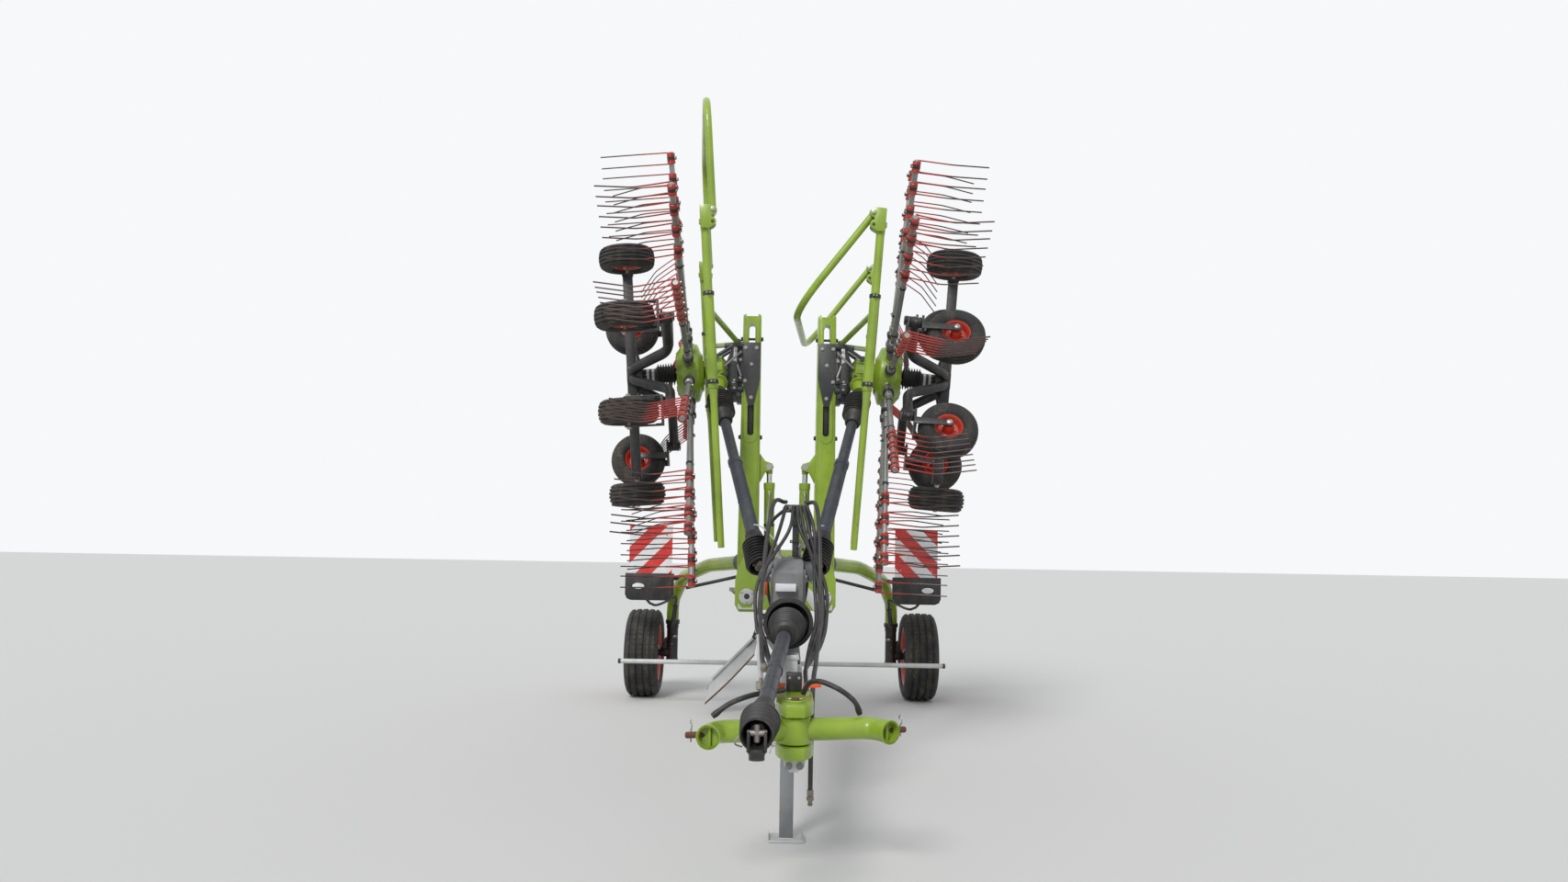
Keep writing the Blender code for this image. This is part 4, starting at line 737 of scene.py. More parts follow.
# The reels: a dome, twelve arms, coils wound on the arms, kinked double fingers
reel = {
    "length": 1.57,
    "root": 0.16,
    "drop": 0.065,
    "arm": 0.019,
    "pairs": [(0.65, 0.702), (0.752, 0.803), (0.853, 0.904), (0.947, 0.996)],
    "finger": 0.49,
    "kink": [  # share of the finger's length, share of it aside
        (0.0, 0.045), (0.06, 0.038), (0.25, 0.006), (0.44, -0.02), (0.5, -0.024), (0.56, -0.018),
        (0.8, 0.03), (1.0, 0.07),
    ],
    "wire": 0.0047,
    "coil": 0.0245,
    "turnStart": {"left": 17, "right": 28},
    "pitch": [0, 0, 0, 0, 0, 0, 0, 12, 45, 68, 45, 12],
    "domeRows": [
        (-0.1, 0.048), (-0.1, 0.085), (-0.094, 0.09), (-0.094, 0.13), (-0.08, 0.146), (-0.062, 0.2),
        (-0.054, 0.208), (-0.045, 0.21), (0.045, 0.21), (0.056, 0.207), (0.064, 0.198), (0.084, 0.168),
        (0.094, 0.158), (0.1, 0.15), (0.1, 0.09), (0.094, 0.086), (0.094, 0.048),
    ],
}


# two windings on the arm with a finger from the outer end of each
def makeCoilPair(armShape, first, second):
    look = reel
    for share, way in ((first, -1), (second, 1)):
        middle = share * look["length"]
        coilEnd = middle - way * 0.026
        turns, perTurn = 3.5, 12
        steps = int(turns * perTurn)
        line = []
        for number in range(steps + 1):
            angle = number / perTurn * tau + pi / 2
            along = coilEnd + (middle - coilEnd) * number / steps
            line.append((-sin(angle) * look["coil"], cos(angle) * look["coil"], along))
        if share * look["length"] > look["length"] - 0.01:
            line = [(x, y, z - 0.004) for x, y, z in line]
        armShape.append((tube(line, look["wire"], 5), "coilPaint"))
        fingerLine = [
            (0.004 + down * look["finger"] * 0.985, off * look["finger"], middle)
            for down, off in look["kink"]]
        armShape.append((tube(fingerLine, look["wire"], 6, along=True), "fingerWire"))
        anchor = [(0.024, 0.02, middle), (0.012, 0.026, middle), (0.0, 0.0275, middle)]
        armShape.append((tube(anchor, look["wire"], 5), "coilPaint"))
    middle = (first + second) / 2 * look["length"]
    clamp = turned(
        [(-0.015, 0.024), (-0.013, 0.028), (0.013, 0.028), (0.015, 0.024)], (0, 0, middle),
        (0, 0, middle + 1), 16)
    armShape.append((clamp, "satinBlackPaint"))
    armShape.append((boxed((-0.03, 0, middle), (0.018, 0.03, 0.022), 0.003), "satinBlackPaint"))
    for way in (-1, 1):
        start = Vector((-0.03, way * 0.015, middle))
        nut = turned([(0, 0.008), (0.007, 0.008), (0.009, 0.005)], start, start + Vector((0, way, 0)), 6)
        armShape.append((nut, "boltZinc"))


def makeArmShape():
    look = reel
    shapes = []
    tip = look["length"] * 0.9985
    rows = [
        (look["root"], 0.034), (0.3, 0.033), (0.31, 0.03), (0.38, 0.027), (0.385, look["arm"]),
        (tip - 0.003, look["arm"]), (tip, look["arm"] - 0.003)]
    shapes.append((turned(rows, origin, upward, 20), "zincCoat"))
    collar = turned([(0.305, 0.037), (0.308, 0.04), (0.33, 0.04), (0.333, 0.037)], origin, upward, 20)
    shapes.append((collar, "satinBlackPaint"))
    for z in (0.46, 0.93):
        rows = [(z, 0.0215), (z + 0.002, 0.0235), (z + 0.016, 0.0235), (z + 0.018, 0.0215)]
        shapes.append((turned(rows, origin, upward, 16), "satinBlackPaint"))
        start = Vector((-0.022, 0, z + 0.009))
        nut = turned([(0, 0.007), (0.009, 0.007), (0.01, 0.005)], start, start + Vector((-1, 0, 0)), 6)
        shapes.append((nut, "boltZinc"))
    for first, second in look["pairs"]:
        makeCoilPair(shapes, first, second)
    gathered = {}
    for shape, paint in shapes:
        bmesh.ops.recalc_face_normals(shape, faces=shape.faces)
        whole = gathered.setdefault(paint, bmesh.new())
        if paint == "fingerWire" and not whole.verts.layers.float.get("along"):
            whole.verts.layers.float.new("along")
        joined(whole, shape)
    return gathered


def makeReel(word, side, armShape):
    look = reel
    piece = Piece("reel_" + word + "_arms", "reel_" + word, "galvanised")
    piece.whole.verts.layers.float.new("along")
    place = rotorPlace(side)
    tilt = Matrix.Rotation(atan2(look["drop"], look["length"]), 4, "Y")
    for number, pitch in enumerate(look["pitch"]):
        spin = Matrix.Rotation(radians(look["turnStart"][word] + number * 30), 4, "X")
        roll = Matrix.Rotation(radians(pitch), 4, "Z")
        for paint, shape in armShape.items():
            piece.put(shape.copy(), paint, place @ spin @ tilt @ roll)
    piece.finish("reel_" + word)
    dome = Piece("reel_" + word + "_dome", "reel_" + word, "green_paint")
    dome.spun(look["domeRows"], origin, outboard, 64, "limePaint", place, hollow=True)
    for number in range(12):
        spin = Matrix.Rotation(radians(look["turnStart"][word] + number * 30), 4, "X") @ tilt
        dome.spun(
            [(0.15, 0.044), (0.196, 0.044), (0.216, 0.042), (0.222, 0.036)], origin, upward, 20,
            "limePaint", place @ spin)
    for number in range(12):
        spin = Matrix.Rotation(radians(look["turnStart"][word] + 15 + number * 30), 4, "X")
        start = Vector((0.094, 0, 0.118))
        dome.spun(
            [(0, 0.011), (0.003, 0.011), (0.0032, 0.009), (0.011, 0.009), (0.012, 0.007)], start, outboard,
            6, "boltZinc", place @ spin)
        dome.plate(
            [(-0.062, 0.15), (-0.05, 0.2115), (0.05, 0.2115), (0.06, 0.15)], -0.004, 0.004, "xz", 0.001,
            "limePaint", place @ spin)
    dome.finish()


armShape = makeArmShape()
for word, side in sides.items():
    makeReel(word, side, armShape)
for shape in armShape.values():
    shape.free()
print("reels made")

# A Boolean cut for slots and holes, worked on plain shapes
def carved(shape, cutters):
    bmesh.ops.recalc_face_normals(shape, faces=shape.faces)
    holders = []
    for cutter in [shape, *cutters]:
        bmesh.ops.recalc_face_normals(cutter, faces=cutter.faces)
        mesh = bpy.data.meshes.new("carving")
        cutter.to_mesh(mesh)
        cutter.free()
        holder = bpy.data.objects.new("carving", mesh)
        bpy.context.scene.collection.objects.link(holder)
        holders.append(holder)
    for holder in holders[1:]:
        knife = holders[0].modifiers.new("cut", "BOOLEAN")
        knife.operation = "DIFFERENCE"
        knife.object = holder
        knife.solver = "EXACT"
    bpy.context.view_layer.update()
    ready = holders[0].evaluated_get(bpy.context.evaluated_depsgraph_get())
    mesh = bpy.data.meshes.new_from_object(ready)
    result = bmesh.new()
    result.from_mesh(mesh)
    bpy.data.meshes.remove(mesh)
    for holder in holders:
        spare = holder.data
        bpy.data.objects.remove(holder, do_unlink=True)
        bpy.data.meshes.remove(spare)
    return result


def stadium(x, lowZ, highZ, half, lowY, highY, segments=10):  # a slot with round ends, drawn through along y
    outline = []
    for number in range(segments + 1):
        angle = pi * number / segments
        outline.append((x + cos(angle) * half, highZ - half + sin(angle) * half))
    for number in range(segments + 1):
        angle = pi + pi * number / segments
        outline.append((x + cos(angle) * half, lowZ + half + sin(angle) * half))
    return plated(outline, lowY, highY, "xz", 0)


def ribbedRows(start, length, radii, ribs, rise):  # a bellows: ribs between the first and the last radius
    rows = []
    first, last = radii
    for number in range(ribs):
        low = start + length * number / ribs
        step = length / ribs
        radius = first + (last - first) * number / ribs
        rows += [
            (low, radius - rise), (low + step * 0.3, radius - rise), (low + step * 0.48, radius),
            (low + step * 0.72, radius), (low + step * 0.9, radius - rise)]
    return rows


# Lifting masts with their slots, lugs and cross bolts
mast = {
    "pivot": (0.272, 1.08),
    "foot": 0.965,
    "top": 3.11,
    "half": (0.0775, 0.065),
    "depth": 0.16,
    "slots": [(2.225, 2.46), (2.73, 3.045)],
    "slotHalf": 0.023,
    "boltHeights": (2.215, 2.93),
    "eye": (0.13, 2.005),
    "lugInner": 0.036,
    "lugPlate": 0.014,
}


def mastHalf(z):
    share = (z - mast["foot"]) / (mast["top"] - mast["foot"])
    return mast["half"][0] + share * (mast["half"][1] - mast["half"][0])


def makeMast(word, side):
    look = mast
    x, pivotZ = look["pivot"]
    piece = Piece("mast_" + word + "_box", "arm_" + word, "green_paint", side)
    foot, tip = look["half"]
    outline = [
        (x - foot + 0.02, look["foot"]), (x + foot - 0.02, look["foot"]),
        (x + foot, look["foot"] + 0.03), (x + tip, look["top"] - 0.01), (x + tip - 0.01, look["top"]),
        (x - tip + 0.01, look["top"]), (x - tip, look["top"] - 0.01), (x - foot, look["foot"] + 0.03)]
    low, high = armY - look["depth"] / 2, armY + look["depth"] / 2
    body = plated(outline, low, high, "xz", 0.005)
    cutters = [stadium(x, a, b, look["slotHalf"], low - 0.1, high + 0.1) for a, b in look["slots"]]
    cutters.append(boxed((x, armY, look["top"] + 0.034), (0.086, look["depth"] + 0.1, 0.1), 0))
    cutters.append(rod((x, low - 0.2, pivotZ), (x, high + 0.2, pivotZ), 0.0365, 32, 0))
    piece.put(carved(body, cutters), "limePaint")
    for y in (low, high):  # weld beads where the side plates meet the faces
        for way in (-1, 1):
            edge = [
                (x + way * (mastHalf(z) - 0.013), y, z) for z in (look["foot"] + 0.05, look["top"] - 0.03)]
            piece.pipe(edge, 0.0028, 6, "limePaint")
    for a, b in look["slots"]:
        for y, way in ((low, -1), (high, 1)):
            half = look["slotHalf"] + 0.005
            arc = [
                (x + cos(t) * half, y, a + half - 0.005 + sin(t) * half)
                for t in [pi + pi * n / 14 for n in range(15)]]
            line = [(x - half, y, b - 0.03), *arc, (x + half, y, b - 0.03)]
            piece.pipe(line, 0.0045, 8, "limePaint")
    boss = 0.1065
    piece.spun(
        ringRows(boss, 0.0375, 0.058, 0.003), (x, armY, pivotZ), rearward, 36, "limePaint", hollow=True)
    for y in (low, high):
        bead = turned(
            [(-0.006, 0.055), (-0.004, 0.064), (0.004, 0.064), (0.006, 0.055)], (x, y, pivotZ),
            (x, y + 1, pivotZ), 28)
        piece.put(bead, "limePaint")
    for z in look["boltHeights"]:
        half = mastHalf(z)
        piece.bar((x - half, armY - 0.045, z), (x + half, armY - 0.045, z), 0.009, 14, "satinBlackPaint")
        for way in (-1, 1):
            start = Vector((x + way * half, armY - 0.045, z))
            piece.spun([(0, 0.019), (0.003, 0.019)], start, (way, 0, 0), 18, "satinBlackPaint")
            piece.spun(
                [(0.003, 0.015), (0.013, 0.015), (0.016, 0.011)], start, (way, 0, 0), 6, "satinBlackPaint")
    eyeX, eyeZ = look["eye"]
    inner = x - mastHalf(eyeZ) + look["lugPlate"]
    lug = [
        (inner, 1.86), (inner, 2.12), (eyeX + 0.03, eyeZ + 0.04), (eyeX + 0.004, eyeZ + 0.032),
        (eyeX - 0.02, eyeZ + 0.024), (eyeX - 0.032, eyeZ), (eyeX - 0.02, eyeZ - 0.024),
        (eyeX + 0.004, eyeZ - 0.032), (eyeX + 0.03, eyeZ - 0.04)]
    for way in (-1, 1):
        near = armY + way * look["lugInner"]
        far = near + way * look["lugPlate"]
        piece.plate(lug, near, far, "xz", 0.002, "limePaint")
        piece.spun(
            [(0, 0.015), (0.012, 0.015), (0.014, 0.013)], (eyeX, near, eyeZ), (0, way, 0), 20, "boltZinc")
        piece.spun(
            [(look["lugPlate"], 0.024), (look["lugPlate"] + 0.003, 0.024)], (eyeX, near, eyeZ), (0, way, 0),
            20, "boltZinc")
        bead = [(inner - 0.001, far, 1.87), (inner - 0.001, far, 2.11)]
        piece.pipe(bead, 0.004, 6, "limePaint")
    for y, way in ((low, -1), (high, 1)):
        pad = stadium(x, 2.176, 2.5, 0.047, y, y + way * 0.005, 16)
        piece.put(
            carved(pad, [stadium(x, *look["slots"][0], look["slotHalf"], low - 0.1, high + 0.1)]),
            "limePaint")
    guide = [(x - 0.0215, 2.235), (x + 0.0215, 2.235), (x + 0.0215, 2.7), (x - 0.0215, 2.7)]
    piece.plate(guide, armY - 0.055, armY + 0.055, "xz", 0.003, "satinBlackPaint")
    piece.block((x, low - 0.001, 1.62), (0.06, 0.006, 0.09), 0.002, "limePaint")
    piece.bolts([(x - 0.02, low - 0.004, 1.65), (x + 0.02, low - 0.004, 1.59)], (0, -1, 0), 0.007)
    return piece.finish("mast_" + word)


# Rotor mounts: the dark sliding bracket, the gear housing, the bellows on the axle
rotorMount = {
    "housingRows": [
        (-0.255, 0.06), (-0.253, 0.096), (-0.248, 0.102), (-0.23, 0.119), (-0.15, 0.12), (-0.146, 0.15),
        (-0.122, 0.15), (-0.118, 0.12), (-0.106, 0.11), (-0.106, 0.06),
    ], "axle": 0.045, "axleEnd": 0.345, "face": (2.46, 2.88), "depth": 0.07, "thick": 0.035,
}


def makeRotorMount(word, side):
    look = rotorMount
    place = rotorPlace(1)
    piece = Piece("rotorMount_" + word + "_bracket", "arm_" + word, "dark_frame", side)
    piece.spun(look["housingRows"], origin, outboard, 48, "limePaint", place, hollow=True)
    inboard = [
        (-0.3, 0.04), (-0.3, 0.066), (-0.294, 0.072), (-0.262, 0.078), (-0.258, 0.09), (-0.252, 0.092)]
    piece.spun(inboard, origin, outboard, 40, "darkGreyPaint", place)
    for turn in around(10):
        start = Vector((-0.146, cos(turn) * 0.136, sin(turn) * 0.136))
        piece.toward(
            [(0, 0.011), (0.003, 0.011), (0.0032, 0.009), (0.01, 0.009), (0.012, 0.006)], start,
            start - Vector((1, 0, 0)), 6, "boltZinc", place)
        piece.plate(
            [(-0.232, 0.1), (-0.232, 0.1185), (-0.148, 0.148), (-0.148, 0.1)], -0.004, 0.004, "xz", 0.001,
            "limePaint", place @ Matrix.Rotation(turn + pi / 10, 4, "X"))
    rows = [
        (-0.112, 0.043), (0.104, 0.043), (0.106, look["axle"] + 0.004),
        (look["axleEnd"] - 0.004, look["axle"]), (look["axleEnd"], look["axle"] - 0.003)]
    piece.spun(rows, origin, outboard, 32, "satinBlackPaint", place)
    fins = [(0.107, 0.05)]
    for number in range(7):
        low = 0.112 + number * 0.019
        fins += [
            (low, 0.058), (low + 0.006, 0.083 - number * 0.001), (low + 0.009, 0.083 - number * 0.001),
            (low + 0.015, 0.058)]
    fins += [(0.248, 0.056), (0.25, 0.05)]
    piece.spun(fins, origin, outboard, 32, "bootPlastic", place)
    for along in (0.262, 0.3):
        piece.spun(
            [(along, 0.046), (along + 0.001, 0.0485), (along + 0.018, 0.0485), (along + 0.019, 0.046)],
            origin, outboard, 28, "lightGreyPaint", place)
    heart = place @ Vector(((-0.3 - 0.106) / 2, 0, 0))
    joint = spot(0.5, 2.8, 2.5)
    way = (joint - heart).normalized()
    neck = [(0.0, 0.062), (0.1, 0.06), (0.13, 0.05), ((joint - heart).length - 0.052, 0.05)]
    piece.toward(neck, heart, joint, 28, "limePaint")
    piece.toward(
        [(0.125, 0.062), (0.127, 0.068), (0.143, 0.068), (0.145, 0.062)], heart, joint, 32, "limePaint")
    low, high = look["face"]
    face = [mast["pivot"][0] + mastHalf(z) + 0.0006 for z in (low, high)]
    outline = [
        (face[0], low), (face[0] + look["thick"], low), (face[1] + look["thick"], high), (face[1], high)]
    piece.plate(outline, armY - look["depth"], armY + look["depth"], "xz", 0.004, "darkGreyPaint")
    back = face[0] + look["thick"] / 2
    outline = [
        (back, low + 0.02), (back + 0.06, low + 0.015), (heart.x - 0.05, heart.z - 0.085),
        (heart.x, heart.z - 0.06), (heart.x, heart.z + 0.06), (heart.x - 0.06, heart.z + 0.075),
        (back + 0.07, high - 0.05), (back, high - 0.02)]
    for way in (-1, 1):
        middle = armY + way * 0.05
        hole = rod(
            ((back + heart.x) / 2, middle - 0.1, 2.655), ((back + heart.x) / 2, middle + 0.1, 2.655), 0.024,
            24, 0)
        piece.put(
            carved(plated(outline, middle - 0.01, middle + 0.01, "xz", 0.002), [hole]), "darkGreyPaint")
    core = [(0.0, 0.075), (0.05, 0.085), (0.12, 0.08), (0.17, 0.088)]
    start = Vector((back + look["thick"], armY, 2.67))
    piece.toward(core, start, heart, 28, "darkGreyPaint")
    # the bracket's plate over the mast's front, tapering into the slot, and its slide blocks
    x = mast["pivot"][0]
    front = armY - mast["depth"] / 2
    outline = [
        (x - 0.062, 2.9), (x + 0.066, 2.9), (x + 0.07, 2.64), (x + 0.034, 2.5), (x + 0.022, 2.455),
        (x + 0.012, 2.44), (x - 0.012, 2.44), (x - 0.022, 2.455), (x - 0.062, 2.64)]
    for y, way in ((front - 0.0006, -1), (armY + mast["depth"] / 2 + 0.0006, 1)):
        near, far = y, y + way * 0.014
        piece.plate(outline, near, far, "xz", 0.002, "darkGreyPaint")
        for bx, bz in ((x, 2.5), (x + 0.045, 2.62), (x - 0.035, 2.86), (x + 0.045, 2.86), (x, 2.74)):
            piece.bolts([(bx, far, bz)], (0, way, 0), 0.012)
    link = [(x + 0.115, 2.6), (x + 0.14, 2.6), (x + 0.128, 2.86), (x + 0.103, 2.86)]
    piece.plate(link, front - 0.036, front - 0.024, "xz", 0.002, "lightGreyPaint")
    for z in (2.62, 2.84):
        pinX = x + 0.122 - (z - 2.62) * 0.05
        piece.bar((pinX, front - 0.044, z), (pinX, armY - 0.05, z), 0.009, 14, "boltZinc")
    for start, end, radius in (
        ((x + 0.1, armY - 0.085, 2.9), (heart.x + 0.02, armY - 0.085, heart.z + 0.1), 0.013),
        ((x + 0.09, armY - 0.08, 2.52), (heart.x - 0.03, armY - 0.088, heart.z - 0.03), 0.01),
        ((x + 0.1, armY + 0.085, 2.9), (heart.x + 0.02, armY + 0.085, heart.z + 0.1), 0.013),
    ):
        piece.bar(start, end, radius, 14, "darkGreyPaint")
        for point in (start, end):
            piece.toward(
                [(-0.013, radius * 1.7), (0.013, radius * 1.7)], point, Vector(point) + Vector((0, 1, 0)),
                18, "darkGreyPaint")
    near = armY - 0.075
    column = [
        (0, 0.03), (0.004, 0.036), (0.055, 0.038), (0.06, 0.046), (0.2, 0.05), (0.205, 0.042),
        (0.27, 0.036), (0.275, 0.028), (0.345, 0.026)]
    piece.toward(column, (0.395, near, 2.55), (0.4, near, 3.55), 28, "darkGreyPaint")
    piece.bar((0.325, near, 2.885), (0.47, near, 2.87), 0.022, 18, "darkGreyPaint")
    piece.bar((0.33, near, 2.56), (0.42, near, 2.56), 0.024, 18, "darkGreyPaint")
    piece.block((0.372, near + 0.01, 2.7), (0.075, 0.06, 0.19), 0.01, "darkGreyPaint")
    for bx, bz in ((0.352, 2.77), (0.352, 2.64), (0.392, 2.565)):
        piece.bolts([(bx, near - 0.03, bz)], (0, -1, 0), 0.01)
    for lean in (0.0, 0.07):
        piece.bar(
            (0.465 - lean, near - 0.03, 2.72 + lean), (0.345, near - 0.045, 2.83 - lean * 2.6), 0.009, 12,
            "zincCoat")
    return piece.finish("rotor_mount_" + word)


# Rake chassis: a cross beam, four bent arms and the castors' sleeves
chassis = {
    "neck": 0.035,
    "neckX": 0.15,
    "bends": [(0.0, 1.0), (0.12, 1.0), (0.42, 0.0), (1.0, 0.0)],
    "beam": 0.07,
    "stub": 0.745,
    "fixed": 0.86,
}


def makeChassis(word, side):
    look = chassis
    place = rotorPlace(1)
    drop = rakeWheel["drop"]
    piece = Piece("chassis_" + word + "_frame", "arm_" + word, "dark_frame", side)
    piece.block(
        ((0.3453 + drop + 0.035) / 2, 0, 0), (drop + 0.035 - 0.3453, 0.12, 0.12), 0.006, "satinBlackPaint",
        place)
    piece.block(
        (drop, 0, 0), (look["beam"], look["beam"], look["stub"] * 2), 0.006, "satinBlackPaint", place)
    for way in (-1, 1):
        end = look["stub"]
        piece.block((drop, 0, way * (end - 0.004)), (0.082, 0.082, 0.01), 0.002, "satinBlackPaint", place)
        stub = [
            (end - 0.01, 0.026), (end + 0.01, 0.02), (end + 0.012, 0.0135),
            (look["fixed"] + 0.034, 0.0135), (look["fixed"] + 0.036, 0.011)]
        piece.toward(stub, (drop, 0, 0), (drop, 0, way), 20, "boltZinc", place)
        nut = Vector((drop, 0, way * (look["fixed"] + 0.0745)))
        piece.spun(
            [(0, 0.02), (0.003, 0.02), (0.0032, 0.017), (0.014, 0.017), (0.016, 0.012)], nut, (0, 0, way),
            6, "boltZinc", place)
        gusset = [(0.345, way * 0.055), (0.385, way * 0.055), (0.388, way * 0.2), (0.382, way * 0.2)]
        piece.plate(gusset, -0.006, 0.006, "xz", 0.001, "satinBlackPaint", place)
    low, high = castor["sleeve"]
    for _, y, z, _, _ in castorPlaces:
        line = [
            Vector((look["neckX"] + share * (drop - look["neckX"]), y * along, z * along))
            for along, share in look["bends"]]
        piece.pipe(rounded(line, 0.07, 6), look["neck"], 20, "satinBlackPaint", place)
        collar = [
            (low, 0.0215), (low, 0.034), (low + 0.004, 0.038), (low + 0.012, 0.038),
            (low + 0.015, 0.0355), (high - 0.015, 0.0355), (high - 0.012, 0.038), (high - 0.004, 0.038),
            (high, 0.034), (high, 0.0215)]
        piece.spun(collar, (0, y, z), outboard, 32, "satinBlackPaint", place, hollow=True)
        nipple = Vector(((low + high) / 2, y - 0.035, z))
        piece.spun(
            [(0, 0.005), (0.006, 0.005), (0.007, 0.003), (0.012, 0.0035), (0.014, 0.002)], nipple,
            (0, -1, 0), 10, "boltZinc", place)
    return piece.finish("chassis_" + word)


# Guards, their hinges and the folding bows
guard = {
    "x": -0.14,
    "radius": 0.028,
    "ends": (-0.9, 0.72),
    "top": 0.95,
    "foot": -1.25,
    "hingeHalf": 0.035,
    "hingeThick": 0.014,
    "hingeOffset": 0.055,
    "pin": 0.01,
}


def makeGuard(word, side):
    look = guard
    place = rotorPlace(1)
    piece = Piece("guard_" + word + "_tubes", "arm_" + word, "green_paint", side)
    seatX = mast["pivot"][0] + mastHalf(2.88) + 0.0175 + 0.012
    seat = Vector((seatX, armY, 2.8803 + 0.02))
    for y in look["ends"]:
        foot, top = look["foot"], look["top"] - look["hingeHalf"]
        rows = [
            (foot, 0.017), (foot + 0.004, 0.0215), (-0.3, 0.0235), (-0.24, look["radius"]),
            (top - 0.004, look["radius"]), (top, look["radius"] - 0.004)]
        piece.spun(rows, (look["x"], y, 0), upward, 28, "limePaint", place)
        sleeve = [(-0.22, 0.0285), (-0.218, 0.0335), (0.418, 0.0335), (0.42, 0.0285)]
        piece.spun(sleeve, (look["x"], y, 0), upward, 28, "limePaint", place)
        for z in (-0.19, 0.39):
            piece.spun(
                [(z, 0.0335), (z + 0.002, 0.038), (z + 0.026, 0.038), (z + 0.028, 0.0335)],
                (look["x"], y, 0), upward, 28, "satinBlackPaint", place)
            ear = Vector((look["x"], y - 0.045, z + 0.014))
            piece.block(ear, (0.012, 0.03, 0.026), 0.002, "satinBlackPaint", place)
            start = ear + Vector((-0.014, -0.002, 0))
            piece.spun([(0, 0.007), (0.028, 0.007), (0.03, 0.005)], start, outboard, 6, "boltZinc", place)
        foothold = place @ Vector((look["x"], y, 0.3))
        piece.bar(foothold, seat, 0.02, 18, "limePaint")
        piece.toward([(0.018, 0.024), (0.028, 0.0255), (0.036, 0.0205)], foothold, seat, 20, "limePaint")
        wide = look["radius"] + look["hingeThick"]
        low = look["top"] - look["hingeHalf"] * 2.5
        collar = [
            (low, 0.027), (low, 0.036), (low + 0.003, 0.039), (low + 0.032, 0.039), (low + 0.035, 0.036),
            (low + 0.035, 0.027)]
        piece.spun(collar, (look["x"], y, 0), upward, 28, "limePaint", place)
        for way in (-1, 1):  # a cheek with two bumps, one at the pin and one at the latch
            pinX, pinZ = look["x"] - look["hingeOffset"], look["top"]
            cheek = [
                (look["x"] + 0.03, pinZ + 0.03), (look["x"] - 0.02, pinZ + 0.034),
                (pinX + 0.004, pinZ + 0.03), (pinX - 0.014, pinZ + 0.022), (pinX - 0.024, pinZ + 0.006),
                (pinX - 0.024, pinZ - 0.01), (pinX - 0.012, pinZ - 0.026), (pinX + 0.01, pinZ - 0.038),
                (pinX + 0.01, pinZ - 0.046), (pinX - 0.008, pinZ - 0.058), (pinX - 0.018, pinZ - 0.072),
                (pinX - 0.018, pinZ - 0.088), (pinX - 0.006, pinZ - 0.102),
                (look["x"] - 0.018, pinZ - 0.125), (look["x"] + 0.03, pinZ - 0.12)]
            near, far = y + way * (wide - look["hingeThick"] / 2), y + way * (wide + look["hingeThick"] / 2)
            piece.plate(cheek, near, far, "xz", 0.002, "limePaint", place)
            start = Vector((pinX, far, pinZ))
            piece.spun(
                [(0, 0.017), (0.0025, 0.017), (0.0027, 0.015), (0.011, 0.015), (0.012, 0.011)], start,
                (0, way, 0), 6, "boltZinc", place)
            latch = Vector((pinX + 0.006, far, pinZ - 0.08))
            piece.spun(
                [(0, 0.01), (0.006, 0.01), (0.008, 0.007)], latch, (0, way, 0), 6, "satinBlackPaint", place)
        reach = Vector((0, wide + 0.006, 0))
        pinAt = Vector((look["x"] - look["hingeOffset"], y, look["top"]))
        piece.bar(pinAt - reach, pinAt + reach, look["pin"], 16, "boltZinc", place)
    piece.block(seat, (0.035, 0.14, 0.04), 0.004, "darkGreyPaint")
    for way in (-1, 1):
        piece.bolts([seat + Vector((0, way * 0.05, 0.02))], upward, 0.01)
    return piece.finish("guard_" + word)


bow = {"length": 0.82, "bend": 0.3, "radius": 0.0244, "eye": 0.028, "fold": {"left": 0, "right": 146}}


def makeBow(word, side):
    look = bow
    place = rotorPlace(side)
    front, rear = guard["ends"]
    half = (rear - front) / 2
    hinge = Vector((guard["x"] - guard["hingeOffset"], (front + rear) / 2, guard["top"]))
    turn = place @ Matrix.Translation(hinge) @ Matrix.Rotation(-radians(look["fold"][word]), 4, "Y")
    line = [(0, -half, 0.018), (0, -half, look["length"]), (0, half, look["length"]), (0, half, 0.018)]
    piece = Piece("bow_" + word + "_hoop", "bow_" + word, "green_paint")
    piece.pipe(rounded(line, look["bend"], 14), look["radius"], 24, "limePaint", turn)
    for y in (-half, half):
        piece.spun(
            ringRows(0.025, 0.0118, look["eye"]), (0, y, 0), rearward, 28, "limePaint", turn, hollow=True)
    return piece.finish("bow_" + word)


# Side drive shafts
sideShaft = {
    "low": (0.16, 1.7, 1.34),
    "high": (0.5, 2.8, 2.5),
    "outerLength": 0.95,
    "bootStart": 0.004,
    "bootLength": 0.27,
    "ribs": 8,
}


def bootShape(start, way, length):  # a ribbed cone: wide at the joint, narrow on the guard
    rows = [(0.006, 0.07), (0.0, 0.074), (0.0, 0.08), (0.005, 0.086)]
    rows += ribbedRows(0.01, length * 0.66, (0.092, 0.086), sideShaft["ribs"], 0.013)
    rows += [
        (length * 0.72, 0.07), (length * 0.84, 0.06), (length * 0.98, 0.053), (length, 0.047),
        (length, 0.04), (length * 0.7, 0.05), (0.05, 0.068)]
    return turned(rows, start, start + way, 36, hollow=True)


